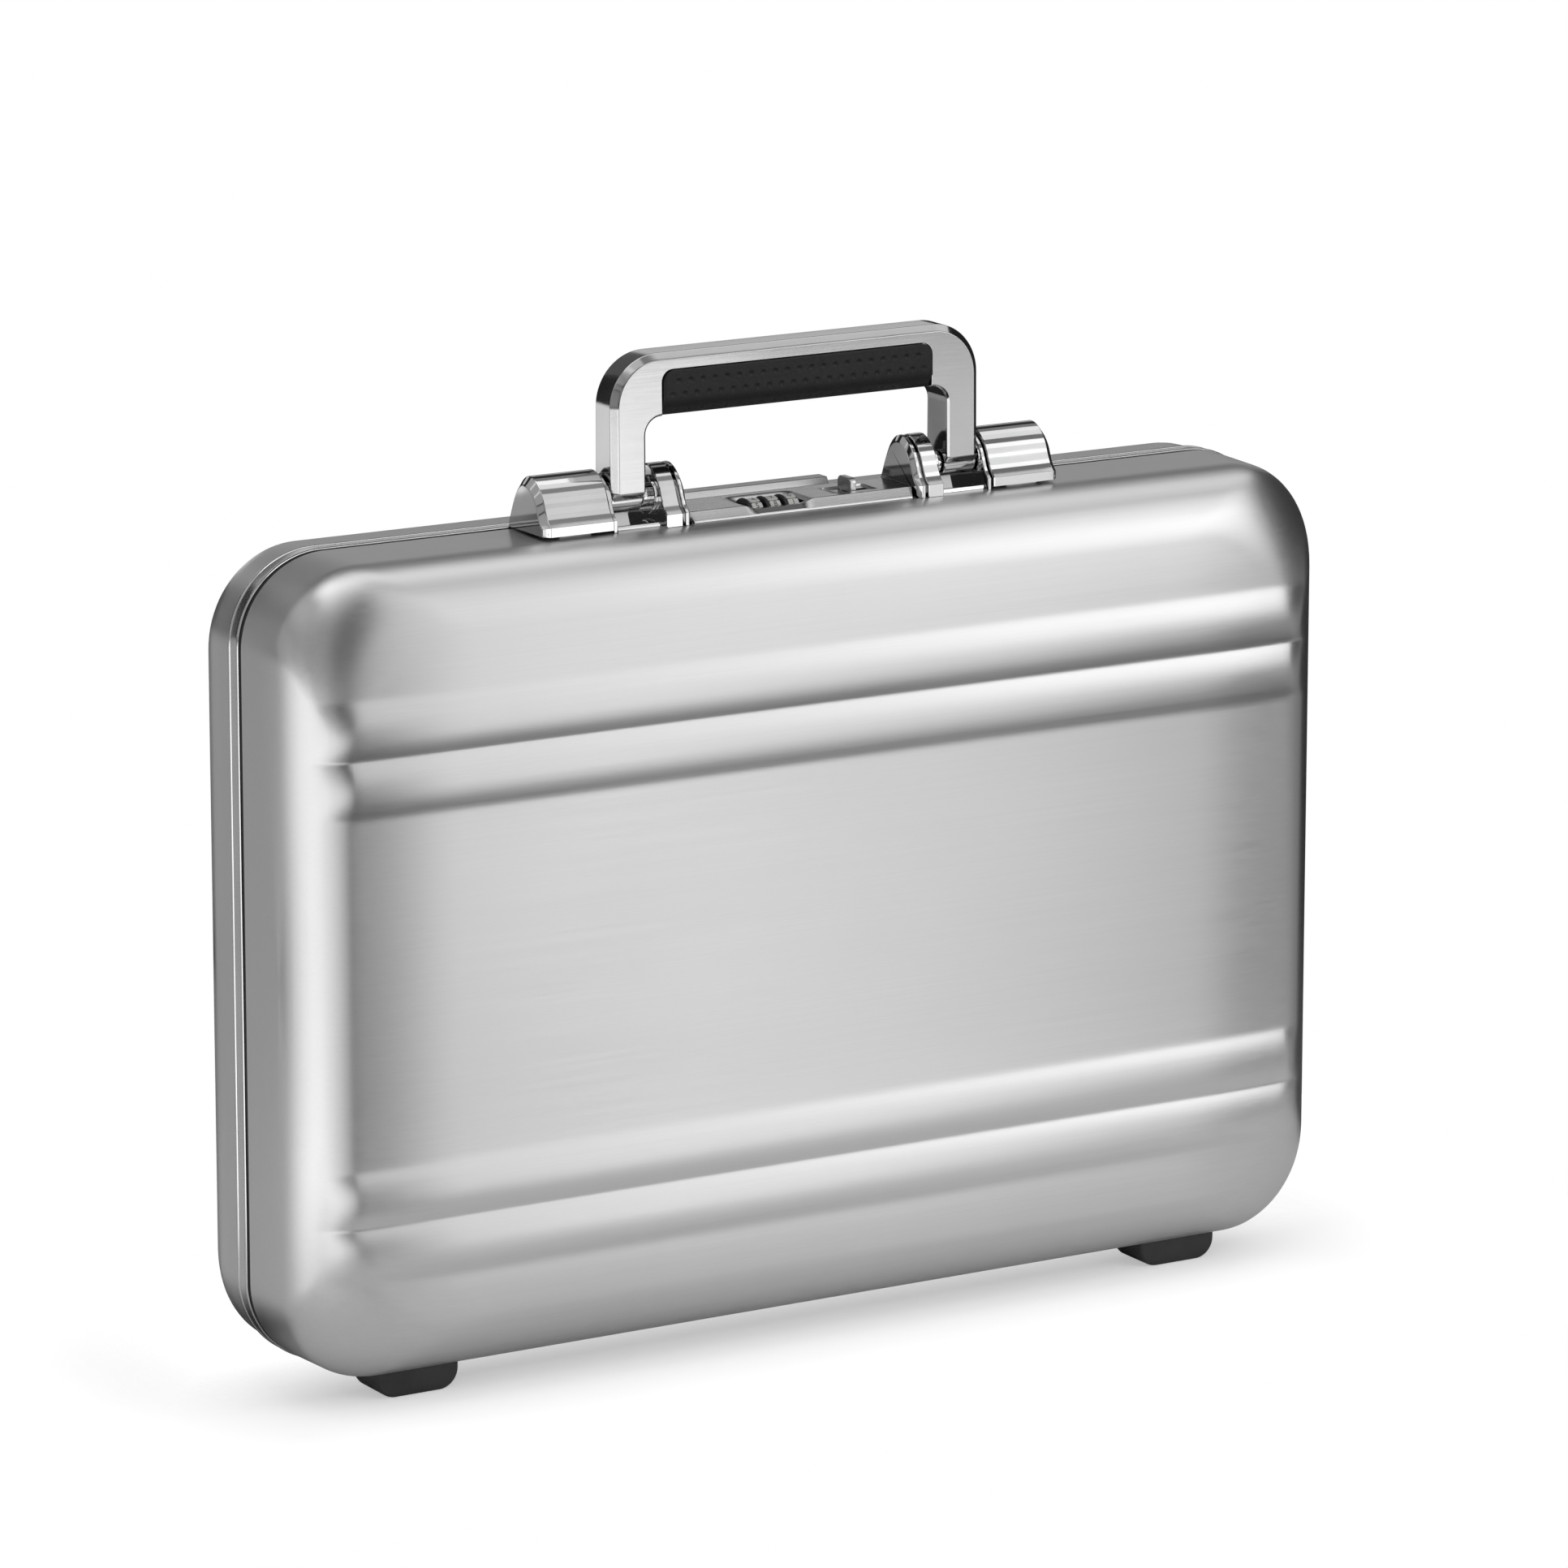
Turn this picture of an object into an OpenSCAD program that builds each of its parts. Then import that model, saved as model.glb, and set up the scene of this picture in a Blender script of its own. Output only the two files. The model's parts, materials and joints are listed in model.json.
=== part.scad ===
/* [Case] */
// Width of the closed case across the rim
case_w = 457; // [430:1:480]
// Height of the closed case, feet not counted
case_h = 313; // [290:1:340]
// Depth of the front shell, from the parting line to its face
base_d = 51.4; // [46:0.2:60]
// Depth of the back shell with its rim, from the parting line to its face
lid_d = 46; // [44:0.5:60]
// Corner radius of the outline at the parting line
corner_r = 35; // [32:1:40]
// Rounding of the shells' faces into their side walls
edge_r = 23; // [20:0.5:24]
// Rounding of the faces into the top and bottom walls, measured along the height
edge_rz = 27; // [24:0.5:30]
// Inward taper of the walls per millimetre of depth
draft = 0.018; // [0.01:0.002:0.02]
// Sheet thickness of the shells
wall = 1.4; // [1.2:0.1:1.5]

/* [Ribs] */
// Height of each pressed rib
rib_h = 1.9; // [1:0.1:2.2]
// Half of the width of a rib pair
rib_w = 22; // [20:1:22]
// Height of the lower rib pair's valley above the shell's lowest edge
rib_low = 64.5; // [64:0.5:70]
// Height of the upper rib pair's valley above the shell's lowest edge
rib_high = 243; // [215:1:245]

/* [Handle] */
// Height of the handle's top above the case
handle_h = 65; // [62:1:75]
// Half of the width across the handle's legs
handle_hw = 81.2; // [80.8:0.1:81.4]
// Half of the clear width between the legs
handle_in = 66.8; // [66.8:0.1:68]
// Length of the leather grip
grip_l = 118.8; // [110:0.2:122]
// Depth of the handle from front to back
handle_d = 16.4; // [14:0.2:16.6]

/* [Feet] */
// Height of the feet
foot_h = 10; // [9.8:0.1:11]
// Length of each foot
foot_l = 35; // [30:1:40]
// Distance of each foot's middle from the case's middle
foot_x = 172; // [150:1:175]

/* [Lock] */
// Distance between the number dials
dial_pitch = 8; // [7.9:0.1:8.1]
// Travel of the release slide
slide_travel = 7; // [4:0.5:7]

/* [Hidden] */

eps = 0.01;
zt = foot_h + case_h;          // top of the case
hw = case_w / 2;
grow = 0.7;                    // how much the corner radius grows with the inset
gap = 0.6;                     // half of the parting gap
rim_d = 9.5;                   // depth of the visible rim
hinge_y = 0;                   // axis of the lid's hinge
hinge_z = foot_h - 3.6;
pin_y = -14;                   // axis of the handle's pins
pin_z = zt + 10;
latch_y = -26.3;               // axis of the latch pins
latch_z = zt + 2;
dial_y = -15.5;                // axis of the dials
dial_z = zt - 2;
dial_r = 6.3;                  // flat-to-axis size of a dial
stay_x = 215;                  // middle of the lid stays
stay_py = -5.6; stay_pz = foot_h + 50;   // lower stay pivot, on the base
stay_qy = 5.2;  stay_qz = foot_h + 50;   // upper stay pivot, on the lid
stay_ey = stay_py + stay_qy - hinge_y;   // elbow, opposite the hinge
stay_ez = stay_pz + stay_qz - hinge_z;

// ---------- shell surface ----------
arc_n = 8;                     // steps round each corner
edge_n = 7;                    // steps round the face's edge
z_lo = foot_h + rib_low - rib_w;
z_hi = foot_h + rib_high + rib_w;
rib_t = [-1, -0.86, -0.68, -0.5, -0.32, -0.16, 0, 0.16, 0.32, 0.5, 0.68, 0.86, 1];
rows_mid = concat([for (t = rib_t) foot_h + rib_low + t * rib_w], [for (t = rib_t) foot_h + rib_high + t * rib_w]);

function rib1(t) = abs(t) >= rib_w ? 0 : rib_h * (1 - pow((abs(t) - rib_w / 2) / (rib_w / 2), 2));
function rib(z) = rib1(z - foot_h - rib_low) + rib1(z - foot_h - rib_high);
function ease(a, b, v) = let (u = max(0, min(1, (v - a) / (b - a)))) u * u * (3 - 2 * u);

// one ring of the shell: [inset in x, inset in z, corner radius, depth, rib share]
function ring(t, D, i0, d, a, ribs) = let (
    i = i0 + draft * min(d, D - edge_r) + (edge_r - t) * (1 - cos(a)),
    iz = i0 + draft * min(d, D - edge_r) + (edge_rz - t) * (1 - cos(a)),
    dd = a > 0 ? D - edge_r + (edge_r - t) * sin(a) : d)
    [i + t, iz + t, corner_r - t + grow * i, dd, ribs ? ease(2, 15, i) : 0];

function rings(t, D, d0, i0, ribs) = concat(
    [ring(t, D, i0, d0, 0, ribs)],
    [for (k = [0 : edge_n]) ring(t, D, i0, D - edge_r, k * 90 / edge_n, ribs)]);

// left-hand points of one ring, from its bottom to its top: [x, y, z]
function chain(g, mid) = let (
    w = hw - g[0], b = foot_h + g[1], t = zt - g[1], r = g[2],
    lo = mid[0], hi = mid[len(mid) - 1],
    al = (lo - b) >= r ? 90 : acos(1 - (lo - b) / r),
    ah = (t - hi) >= r ? 90 : acos(1 - (t - hi) / r),
    sl = (lo - b) >= r ? 1 : arc_n / (arc_n + 1), sh = (t - hi) >= r ? 1 : arc_n / (arc_n + 1))
    concat(
        [for (j = [0 : arc_n]) let (a = al * sl * j / arc_n) [w - r + r * sin(a), g[3], b + r - r * cos(a)]],
        [for (z = mid) [w - (z < b + r ? r - sqrt(r * r - pow(b + r - z, 2)) : z > t - r ? r - sqrt(r * r - pow(z - t + r, 2)) : 0), g[3] + g[4] * rib(z), z]],
        [for (j = [arc_n : -1 : 0]) let (a = ah * sh * j / arc_n) [w - r + r * sin(a), g[3], t - r + r * cos(a)]]);

function loop(g, mid) = let (c = chain(g, mid), n = len(c))
    concat([for (p = c) [-p[0], -p[1], p[2]]], [for (j = [n - 1 : -1 : 0]) [c[j][0], -c[j][1], c[j][2]]]);

// a pan with its mouth towards +Y: outer surface at offset t0, inner surface at offset t1
module pan(D, d0, i0, t0, t1, mid, ribs) {
    ro = rings(t0, D, d0, i0, ribs);
    ri = rings(t1, D, d0, i0, false);
    nr = len(ro);
    m = 2 * (2 * (arc_n + 1) + len(mid));
    h = m / 2;
    pts = concat([for (g = ro) each loop(g, mid)], [for (g = ri) each loop(g, mid)]);
    o = nr * m;
    faces = concat(
        [for (k = [0 : nr - 2]) for (j = [0 : m - 1]) each [
            [k * m + j, k * m + (j + 1) % m, (k + 1) * m + (j + 1) % m],
            [k * m + j, (k + 1) * m + (j + 1) % m, (k + 1) * m + j]]],
        [for (k = [0 : nr - 2]) for (j = [0 : m - 1]) each [
            [o + k * m + j, o + (k + 1) * m + (j + 1) % m, o + k * m + (j + 1) % m],
            [o + k * m + j, o + (k + 1) * m + j, o + (k + 1) * m + (j + 1) % m]]],
        [for (j = [0 : h - 2]) each [
            [(nr - 1) * m + j, (nr - 1) * m + j + 1, (nr - 1) * m + m - 2 - j],
            [(nr - 1) * m + j, (nr - 1) * m + m - 2 - j, (nr - 1) * m + m - 1 - j]]],
        [for (j = [0 : h - 2]) each [
            [o + (nr - 1) * m + j, o + (nr - 1) * m + m - 2 - j, o + (nr - 1) * m + j + 1],
            [o + (nr - 1) * m + j, o + (nr - 1) * m + m - 1 - j, o + (nr - 1) * m + m - 2 - j]]],
        [for (j = [0 : m - 1]) each [
            [j, o + (j + 1) % m, (j + 1) % m],
            [j, o + j, o + (j + 1) % m]]]);
    polyhedron(points = pts, faces = faces, convexity = 6);
}

// ---------- small helpers ----------
module mir(s) { if (s < 0) mirror([1, 0, 0]) children(); else children(); }
module pair() { children(); mirror([1, 0, 0]) children(); }
// cylinder along X from x0 to x1
module xcyl(x0, x1, y, z, r, fn = 48) { translate([x0, y, z]) rotate([0, 90, 0]) cylinder(h = x1 - x0, r = r, $fn = fn); }
module zcyl(x, y, z0, z1, r, fn = 32) { translate([x, y, z0]) cylinder(h = z1 - z0, r = r, $fn = fn); }
module box(x0, x1, y0, y1, z0, z1) { translate([x0, y0, z0]) cube([x1 - x0, y1 - y0, z1 - z0]); }
// outline of the case in its own plane, inset by n
module rrect(n) {
    r = corner_r - n;
    union() {
        translate([-hw + n + r, foot_h + n]) square([case_w - 2 * n - 2 * r, case_h - 2 * n]);
        translate([-hw + n, foot_h + n + r]) square([case_w - 2 * n, case_h - 2 * n - 2 * r]);
        for (x = [-1, 1]) for (z = [foot_h + n + r, zt - n - r]) translate([x * (hw - n - r), z]) circle(r = r, $fn = 96);
    }
}
// ring round the case between insets n0 and n1, from y0 to y1
module band(n0, n1, y0, y1) {
    translate([0, y1, 0]) rotate([90, 0, 0]) linear_extrude(height = y1 - y0)
        difference() { rrect(n0); rrect(n1); }
}
// extrude a (y, z) outline along X from x0 to x1
module along_x(x0, x1) { translate([x0, 0, 0]) rotate([90, 0, 90]) linear_extrude(height = x1 - x0) children(); }

// ---------- base ----------
module base_shell() color([0.80, 0.81, 0.82]) difference() {
    pan(base_d, gap, 0, 0, wall, rows_mid, true);
    box(-24.4, 44.4, -24.1, -7.55, zt - 8, zt + 4);
    for (x = [-1, 1]) for (y = [-19, -11.2]) zcyl(x * 58, y, zt - 6, zt + 4, 1.7);
    for (x = [-1, 1]) for (d = [-9, 9]) zcyl(x * foot_x + d, -19, foot_h - 2, foot_h + 6, 1.9);
}
module base_frame() color([0.68, 0.69, 0.70]) union() {
    band(1.85, 4.0, -7.5, -gap - 0.2);
    band(1.85, 8.0, -7.5, -5.4);
}
module gasket() color([0.10, 0.10, 0.10]) band(4.25, 7.7, -5.4, -3.9);
lining_mid = [foot_h + 42, foot_h + 110, foot_h + 178, zt - 42];
module base_lining() color([0.16, 0.16, 0.18]) difference() {
    pan(base_d, 8.2, 0, wall + 0.6, wall + 1.8, lining_mid, false);
    box(-25.2, 45.2, -25, -6, zt - 30, zt + 4);
    for (x = [-1, 1]) for (y = [-19, -11.2]) zcyl(x * 58, y, zt - 30, zt + 4, 3.6);
    for (x = [-1, 1]) for (d = [-9, 9]) zcyl(x * foot_x + d, -19, foot_h - 2, foot_h + 30, 3.8);
}

// ---------- feet ----------
module foot2d() {
    r = 8; b = foot_l / 2; h = foot_h + 0.1;
    intersection() {
        translate([-b, 0]) square([foot_l, h]);
        union() {
            translate([-b + r, 0]) square([foot_l - 2 * r, h]);
            translate([-b, r]) square([foot_l, h]);
            for (s = [-1, 1]) translate([s * (b - r), r]) circle(r = r, $fn = 48);
        }
    }
}
module foot_pair(y0, y1) {
    yc = (y0 + y1) / 2;
    for (x = [-1, 1]) difference() {
        translate([x * foot_x, y1, 0]) rotate([90, 0, 0]) linear_extrude(height = y1 - y0) foot2d();
        for (d = [-9, 9]) zcyl(x * foot_x + d, yc, 3, foot_h + 2, 1.55);
    }
}
module foot_screw_set(yc) {
    for (x = [-1, 1]) for (d = [-9, 9]) union() {
        zcyl(x * foot_x + d, yc, 3.6, foot_h + 3, 1.5);
        zcyl(x * foot_x + d, yc, foot_h + 2.4, foot_h + 4.4, 3.0);
    }
}
module base_feet() color([0.20, 0.20, 0.21]) foot_pair(-29, -9);
module base_foot_screws() color([0.6, 0.6, 0.6]) foot_screw_set(-19);
module lid_feet() color([0.20, 0.20, 0.21]) foot_pair(10, 26);
module lid_foot_screws() color([0.6, 0.6, 0.6]) foot_screw_set(18);

// ---------- lid ----------
module lid_shell() color([0.80, 0.81, 0.82]) difference() {
    mirror([0, 1, 0]) pan(lid_d, rim_d, 0.35, 0, wall, rows_mid, true);
    for (x = [-1, 1]) for (d = [-9, 9]) zcyl(x * foot_x + d, 18, foot_h - 2, foot_h + 8, 1.9);
}
module lid_frame() color([0.75, 0.76, 0.77]) union() {
    band(4.5, 6.6, -3.6, 1.2);
    band(-0.4, 8.0, gap + 0.2, 2.8);
    band(0.1, 8.0, 2.8, 7.4);
    band(-0.3, 8.0, 7.4, 9.2);
    band(2.8, 4.8, 9.2, 13.2);
}
module lid_lining() color([0.16, 0.16, 0.18]) difference() {
    mirror([0, 1, 0]) pan(lid_d, 13.6, 0.35, wall + 0.6, wall + 1.8, lining_mid, false);
    for (x = [-1, 1]) for (d = [-9, 9]) zcyl(x * foot_x + d, 18, foot_h - 2, foot_h + 30, 3.8);
}
module badge_plate() color([0.45, 0.46, 0.48]) along_x(-36, 36)
    polygon([[15.4, zt - 0.3], [16.6, zt + 2.3], [22.4, zt + 2.3], [23.2, zt + 1.6], [23.2, zt - 0.4]]);

// ---------- handle brackets ----------
// side outline of the bracket and latch family, (y, height above the case), shrunk by s
function dome(s) = [for (p = [[-28.1, 0.8], [-28.0, 3.0], [-27.8, 4.4], [-26.9, 5.3], [-25.5, 6.8], [-24.2, 9.0], [-23.2, 11.4],
    [-22.3, 13.8], [-21.1, 15.9], [-19.6, 17.8], [-17.7, 19.5], [-15.6, 20.8], [-13.4, 21.6], [-11.2, 21.7], [-9.2, 21.2],
    [-7.2, 20.0], [-5.3, 18.2], [-3.6, 15.9], [-2.1, 13.2], [-0.7, 10.2], [0.5, 7.4], [1.6, 4.8], [2.4, 2.6], [2.8, 0.8]])
    let (k = 1 - s / 14) [-12.6 + (p[0] + 12.6) * k, 0.8 + (p[1] - 0.8) * k]];
module dome_solid(x0, x1, s = 0) {
    d = dome(s); n = len(d) - 1;
    along_x(x0, x1) translate([0, zt]) union() {
        polygon(d);
        polygon([[d[0][0], 0.81], [d[0][0], -0.42], [-1.2, 0.05], [-1.2, 0.81]]);
    }
}
module handle_bracket(s) color([0.86, 0.87, 0.88]) mir(s) difference() {
    union() {
        dome_solid(54.4, 61.5);
        dome_solid(82.1, 83.8, 1.2);
        along_x(61.4, 82.2) translate([0, zt]) polygon([[-25.2, -0.38], [-24.6, 1.4], [-2.4, 1.4], [-2.0, 0.06]]);
        dome_solid(53.3, 54.5, 2.4);
    }
    xcyl(53, 84, pin_y, pin_z, 2.25);
    for (y = [-19, -11.2]) zcyl(58, y, zt - 2, zt + 5.4, 1.55);
}
module handle_bracket_left() handle_bracket(-1);
module handle_bracket_right() handle_bracket(1);
module lug_cap(s) color([0.83, 0.84, 0.85]) mir(s) union() {
    dome_solid(51.4, 53.2);
    dome_solid(50.2, 51.5, 1.5);
}
module lug_cap_left() lug_cap(-1);
module lug_cap_right() lug_cap(1);
module handle_pins() color([0.7, 0.7, 0.7]) pair() xcyl(54, 83.6, pin_y, pin_z, 2.2);
module bracket_screws() color([0.6, 0.6, 0.6]) pair() for (y = [-19, -11.2]) union() {
    zcyl(58, y, zt - 4.0, zt + 5.0, 1.5);
    zcyl(58, y, zt - 5.2, zt - 3.0, 3.0);
}

// ---------- handle ----------
h_top = zt + handle_h;
h_bot = zt + 13;               // lower end of the legs' flat faces
bar_z = h_top - 24;            // underside of the cross bar
grip_z1 = h_top - 6.6;
h_y0 = pin_y - 8.2;
module bail2d(o) difference() {
    r = 20 - o; w = handle_hw - o; t = h_top - o;
    union() {
        translate([-w, h_bot]) square([2 * w, t - r - h_bot]);
        translate([-w + r, h_bot]) square([2 * (w - r), t - h_bot]);
        for (s = [-1, 1]) translate([s * (w - r), t - r]) circle(r = r, $fn = 72);
    }
    translate([-handle_in, h_bot - 1]) square([2 * handle_in, bar_z - 7 - h_bot + 1]);
    translate([-handle_in + 7, h_bot - 1]) square([2 * handle_in - 14, bar_z - h_bot + 1]);
    for (s = [-1, 1]) translate([s * (handle_in - 7), bar_z - 7]) circle(r = 7, $fn = 48);
}
module handle_bail() color([0.86, 0.87, 0.88]) difference() {
    union() {
        translate([0, h_y0 + handle_d, 0]) rotate([90, 0, 0]) linear_extrude(height = handle_d) bail2d(2.6);
        translate([0, h_y0 + handle_d - 2.6, 0]) rotate([90, 0, 0]) linear_extrude(height = handle_d - 5.2) bail2d(0);
        for (s = [-1, 1]) mir(s) {
            along_x(handle_in, handle_hw - 0.2) polygon([[pin_y - 6.2, h_bot - 2.2], [h_y0 + 0.01, h_bot + 0.1], [h_y0 + handle_d - 0.01, h_bot + 0.1], [pin_y + 6.2, h_bot - 2.2], [pin_y + 4, pin_z], [pin_y - 4, pin_z]]);
            xcyl(handle_in, handle_hw - 0.2, pin_y, pin_z, 5.6);
        }
    }
    difference() {
        box(-grip_l / 2 - 0.05, grip_l / 2 + 0.05, h_y0 - 1, h_y0 + handle_d + 1, bar_z - 1, grip_z1);
        box(-grip_l / 2 - 1, grip_l / 2 + 1, h_y0 + 2, h_y0 + handle_d - 2, bar_z + 2.2, grip_z1 + 1);
    }
    pair() xcyl(handle_in - 1, handle_hw + 1, pin_y, pin_z, 2.25);
}
module handle_grip() color([0.08, 0.08, 0.08]) difference() {
    box(-grip_l / 2, grip_l / 2, h_y0 - 0.5, h_y0 + handle_d + 0.5, bar_z - 0.3, grip_z1 - 0.1);
    box(-grip_l / 2 - 1, grip_l / 2 + 1, h_y0 + 1.95, h_y0 + handle_d - 1.95, bar_z + 2.15, grip_z1 + 1);
}

// ---------- latches ----------
lx0 = 84.2; lx1 = 114;         // ends of a latch cover
kx0 = 92; kx1 = 106;           // fixed knuckle and hook zone
module latch_mount(s) color([0.7, 0.7, 0.72]) mir(s) difference() {
    union() {
        along_x(kx0 + 0.3, kx1 - 0.3) translate([0, zt]) polygon([[latch_y, -0.38], [latch_y, 1.0], [-6, 1.0], [-6, 0.0]]);
        xcyl(kx0 + 0.3, kx1 - 0.3, latch_y, latch_z, 1.75);
    }
    xcyl(kx0 - 1, kx1 + 1, latch_y, latch_z, 1.05);
    box(kx0 - 1, kx1 + 1, latch_y - 3, latch_y + 3, zt - 3, zt - 0.44);
}
module latch_mount_left() latch_mount(-1);
module latch_mount_right() latch_mount(1);
module latch_cover(s) color([0.86, 0.87, 0.88]) mir(s) difference() {
    union() {
        difference() {
            union() {
                along_x(lx0, lx1 - 2.6) translate([0, zt]) polygon(dome(0));
                along_x(lx1 - 2.7, lx1 - 1.3) translate([0, zt]) polygon(dome(1.0));
                along_x(lx1 - 1.4, lx1) translate([0, zt]) polygon(dome(2.0));
            }
            along_x(lx0 + 1.6, lx1 - 3.4) translate([0, zt - 0.01]) polygon(dome(2.2));
            box(lx0 - 1, lx1 + 1, latch_y - 3, latch_y + 2.6, zt - 1, zt + 2.4);
            box(kx0 - 0.3, kx1 + 0.3, latch_y - 3, latch_y + 2.9, zt - 1, zt + 4.3);
        }
        for (k = [[lx0, kx0], [kx1, lx1]]) {
            xcyl(k[0], k[1], latch_y, latch_z, 1.85);
            box(k[0], k[1], latch_y - 1.7, latch_y + 1.2, latch_z, zt + 3.2);
        }
    }
    xcyl(lx0 - 1, lx1 + 1, latch_y, latch_z, 1.05);
    box(kx0, kx1, -3.4, 4, zt - 1, zt + 3.9);
}
module latch_cover_left() latch_cover(-1);
module latch_cover_right() latch_cover(1);
module latch_hook(s) color([0.62, 0.62, 0.64]) mir(s) along_x(kx0 + 1.2, kx1 - 1.2) translate([0, zt])
    polygon([[-0.9, 4.3], [-2.4, 8.0], [-4.2, 11.6], [-6.2, 14.4], [-7.4, 13.4], [-5.6, 10.9], [-4.0, 7.6], [-3.4, 4.3]]);
module latch_hook_left() latch_hook(-1);
module latch_hook_right() latch_hook(1);
module latch_pins() color([0.7, 0.7, 0.7]) pair() xcyl(lx0 + 0.2, lx1 - 1.6, latch_y, latch_z, 1.0);
module latch_spring(s) color([0.5, 0.5, 0.52]) mir(s) along_x(96, 102) translate([0, zt])
    polygon([[-20, 1.05], [-12, 1.05], [-9.6, 1.6], [-9.9, 2.1], [-12, 1.55], [-19.4, 1.55], [-14, 12.6], [-14.5, 12.9]]);
module latch_spring_left() latch_spring(-1);
module latch_spring_right() latch_spring(1);
module keeper(s) color([0.65, 0.65, 0.67]) mir(s) along_x(kx0 + 1, kx1 - 1) translate([0, zt])
    polygon([[-4.2, 0.45], [6.4, 0.45], [6.4, 1.3], [-3.2, 1.3], [-3.2, 3.2], [-4.2, 3.2]]);
module keeper_left() keeper(-1);
module keeper_right() keeper(1);

// ---------- lock ----------
lp = 49.6;                     // half of the lock plate's length
dial_c = -9.5;                 // x of the middle dial
slide_x = 26.4;                // x of the slide's fin at rest
module lock_plate() color([0.78, 0.79, 0.80]) difference() {
    intersection() {
        along_x(-lp, lp) translate([0, zt]) polygon([[-26.2, -0.36], [-26.0, 0.2], [-22.8, 3.5], [-1.2, 3.5], [-1.2, 0.06], [-7.2, -0.03], [-7.4, -0.1], [-24.3, -0.15], [-24.5, -0.33]]);
        translate([0, 0, zt - 2]) linear_extrude(height = 8) polygon([[-lp, -1], [-lp, -23], [-lp + 1.6, -27], [lp - 1.6, -27], [lp, -23], [lp, -1]]);
    }
    // scoop round the dials
    intersection() {
        translate([dial_c, 0, zt + 3.5 + 58.2]) rotate([90, 0, 0]) cylinder(h = 30, r = 60, $fn = 128);
        box(dial_c - 20, dial_c + 20, -21.6, -5, zt + 1, zt + 5);
    }
    xcyl(dial_c - dial_pitch * 1.5 - 0.6, dial_c + dial_pitch * 1.5 + 0.2, dial_y, dial_z, 7.15);
    // recess and slot of the release slide
    box(slide_x - 5.4, slide_x + slide_travel + 3.2, dial_y - 4.4, dial_y + 7.6, zt + 2.7, zt + 5);
    box(slide_x - 1.6, slide_x + slide_travel + 1.6, -15.6, -12.4, zt - 1, zt + 5);
    for (x = [-1, 1]) for (y = [-22.0, -5.5]) zcyl(x * 46.4, y, zt - 1, zt + 2.4, 1.05);
}
module lock_housing() color([0.35, 0.35, 0.37]) difference() {
    box(-24, 44, -23.8, -7.6, zt - 10.4, zt - 0.2);
    box(-23, 4.6, -22.8, -8.6, zt - 9.4, zt + 1);
    box(5.8, 43, -22.8, -8.6, zt - 9.4, zt + 1);
    xcyl(-25, 7, dial_y, dial_z, 1.5);
}
module lock_screws() color([0.6, 0.6, 0.6]) for (x = [-1, 1]) for (y = [-22.0, -5.5]) zcyl(x * 46.4, y, zt + 0.2, zt + 2.2, 1.0);
module dial_axle() color([0.7, 0.7, 0.7]) xcyl(-23.9, 6.4, dial_y, dial_z, 1.45);
module dial(x, c) color(c) difference() {
    union() {
        translate([x - 2.7, dial_y, dial_z]) rotate([0, 90, 0]) rotate([0, 0, 12]) cylinder(h = 5.9, r = dial_r / cos(18), $fn = 10);
        xcyl(x - 4.0 + 0.15, x - 2.6, dial_y, dial_z, 6.75, 60);
    }
    xcyl(x - 5, x + 5, dial_y, dial_z, 1.5);
}
module dial_1() dial(dial_c - dial_pitch, [0.9, 0.9, 0.88]);
module dial_2() dial(dial_c, [0.88, 0.88, 0.86]);
module dial_3() dial(dial_c + dial_pitch, [0.86, 0.86, 0.84]);
module slide_button() color([0.4, 0.4, 0.42]) union() {
    along_x(slide_x - 1.3, slide_x + 1.3) translate([0, zt + 2.95]) union() {
        translate([-18.6, 0]) square([9.8, 3.3]);
        translate([-16.6, 0]) square([5.8, 5.3]);
        for (y = [-16.6, -10.8]) translate([y, 3.3]) circle(r = 2, $fn = 32);
    }
    box(slide_x - 1.2, slide_x + 1.2, -15.3, -12.7, zt - 3, zt + 3.5);
}
module slide_bar() color([0.6, 0.6, 0.62]) difference() {
    box(12, slide_x + 2, -17.6, -10.6, zt - 7.4, zt - 3);
    box(14, 20, -16, -12.2, zt - 9, zt - 2);
}
// helix about the X axis, four turns
sp_x0 = slide_x + 2.1; sp_x1 = 42.9; sp_r = 1.7; sp_w = 0.3; sp_n = 72;
function sp(i) = let (t = i / sp_n, a = 360 * 4.5 * t) [sp_x0 + sp_w + (sp_x1 - sp_x0 - 2 * sp_w) * t, -14.1 + sp_r * cos(a), zt - 5.1 + sp_r * sin(a)];
function rg(i) = let (c = sp(i), a = 360 * 4.5 * i / sp_n) [for (j = [0 : 5]) let (b = 60 * j) [c[0] + sp_w * cos(b), c[1] + sp_w * sin(b) * cos(a), c[2] + sp_w * sin(b) * sin(a)]];
sp_pts = [for (i = [0 : sp_n]) each rg(i)];
sp_faces = concat(
    [[0, 1, 2, 3, 4, 5]],
    [[for (j = [5 : -1 : 0]) sp_n * 6 + j]],
    [for (i = [0 : sp_n - 1]) for (j = [0 : 5]) each [
        [i * 6 + j, (i + 1) * 6 + j, (i + 1) * 6 + (j + 1) % 6],
        [i * 6 + j, (i + 1) * 6 + (j + 1) % 6, i * 6 + (j + 1) % 6]]]);
module slide_spring() color([0.6, 0.6, 0.6]) polyhedron(points = sp_pts, faces = sp_faces, convexity = 8);

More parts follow.
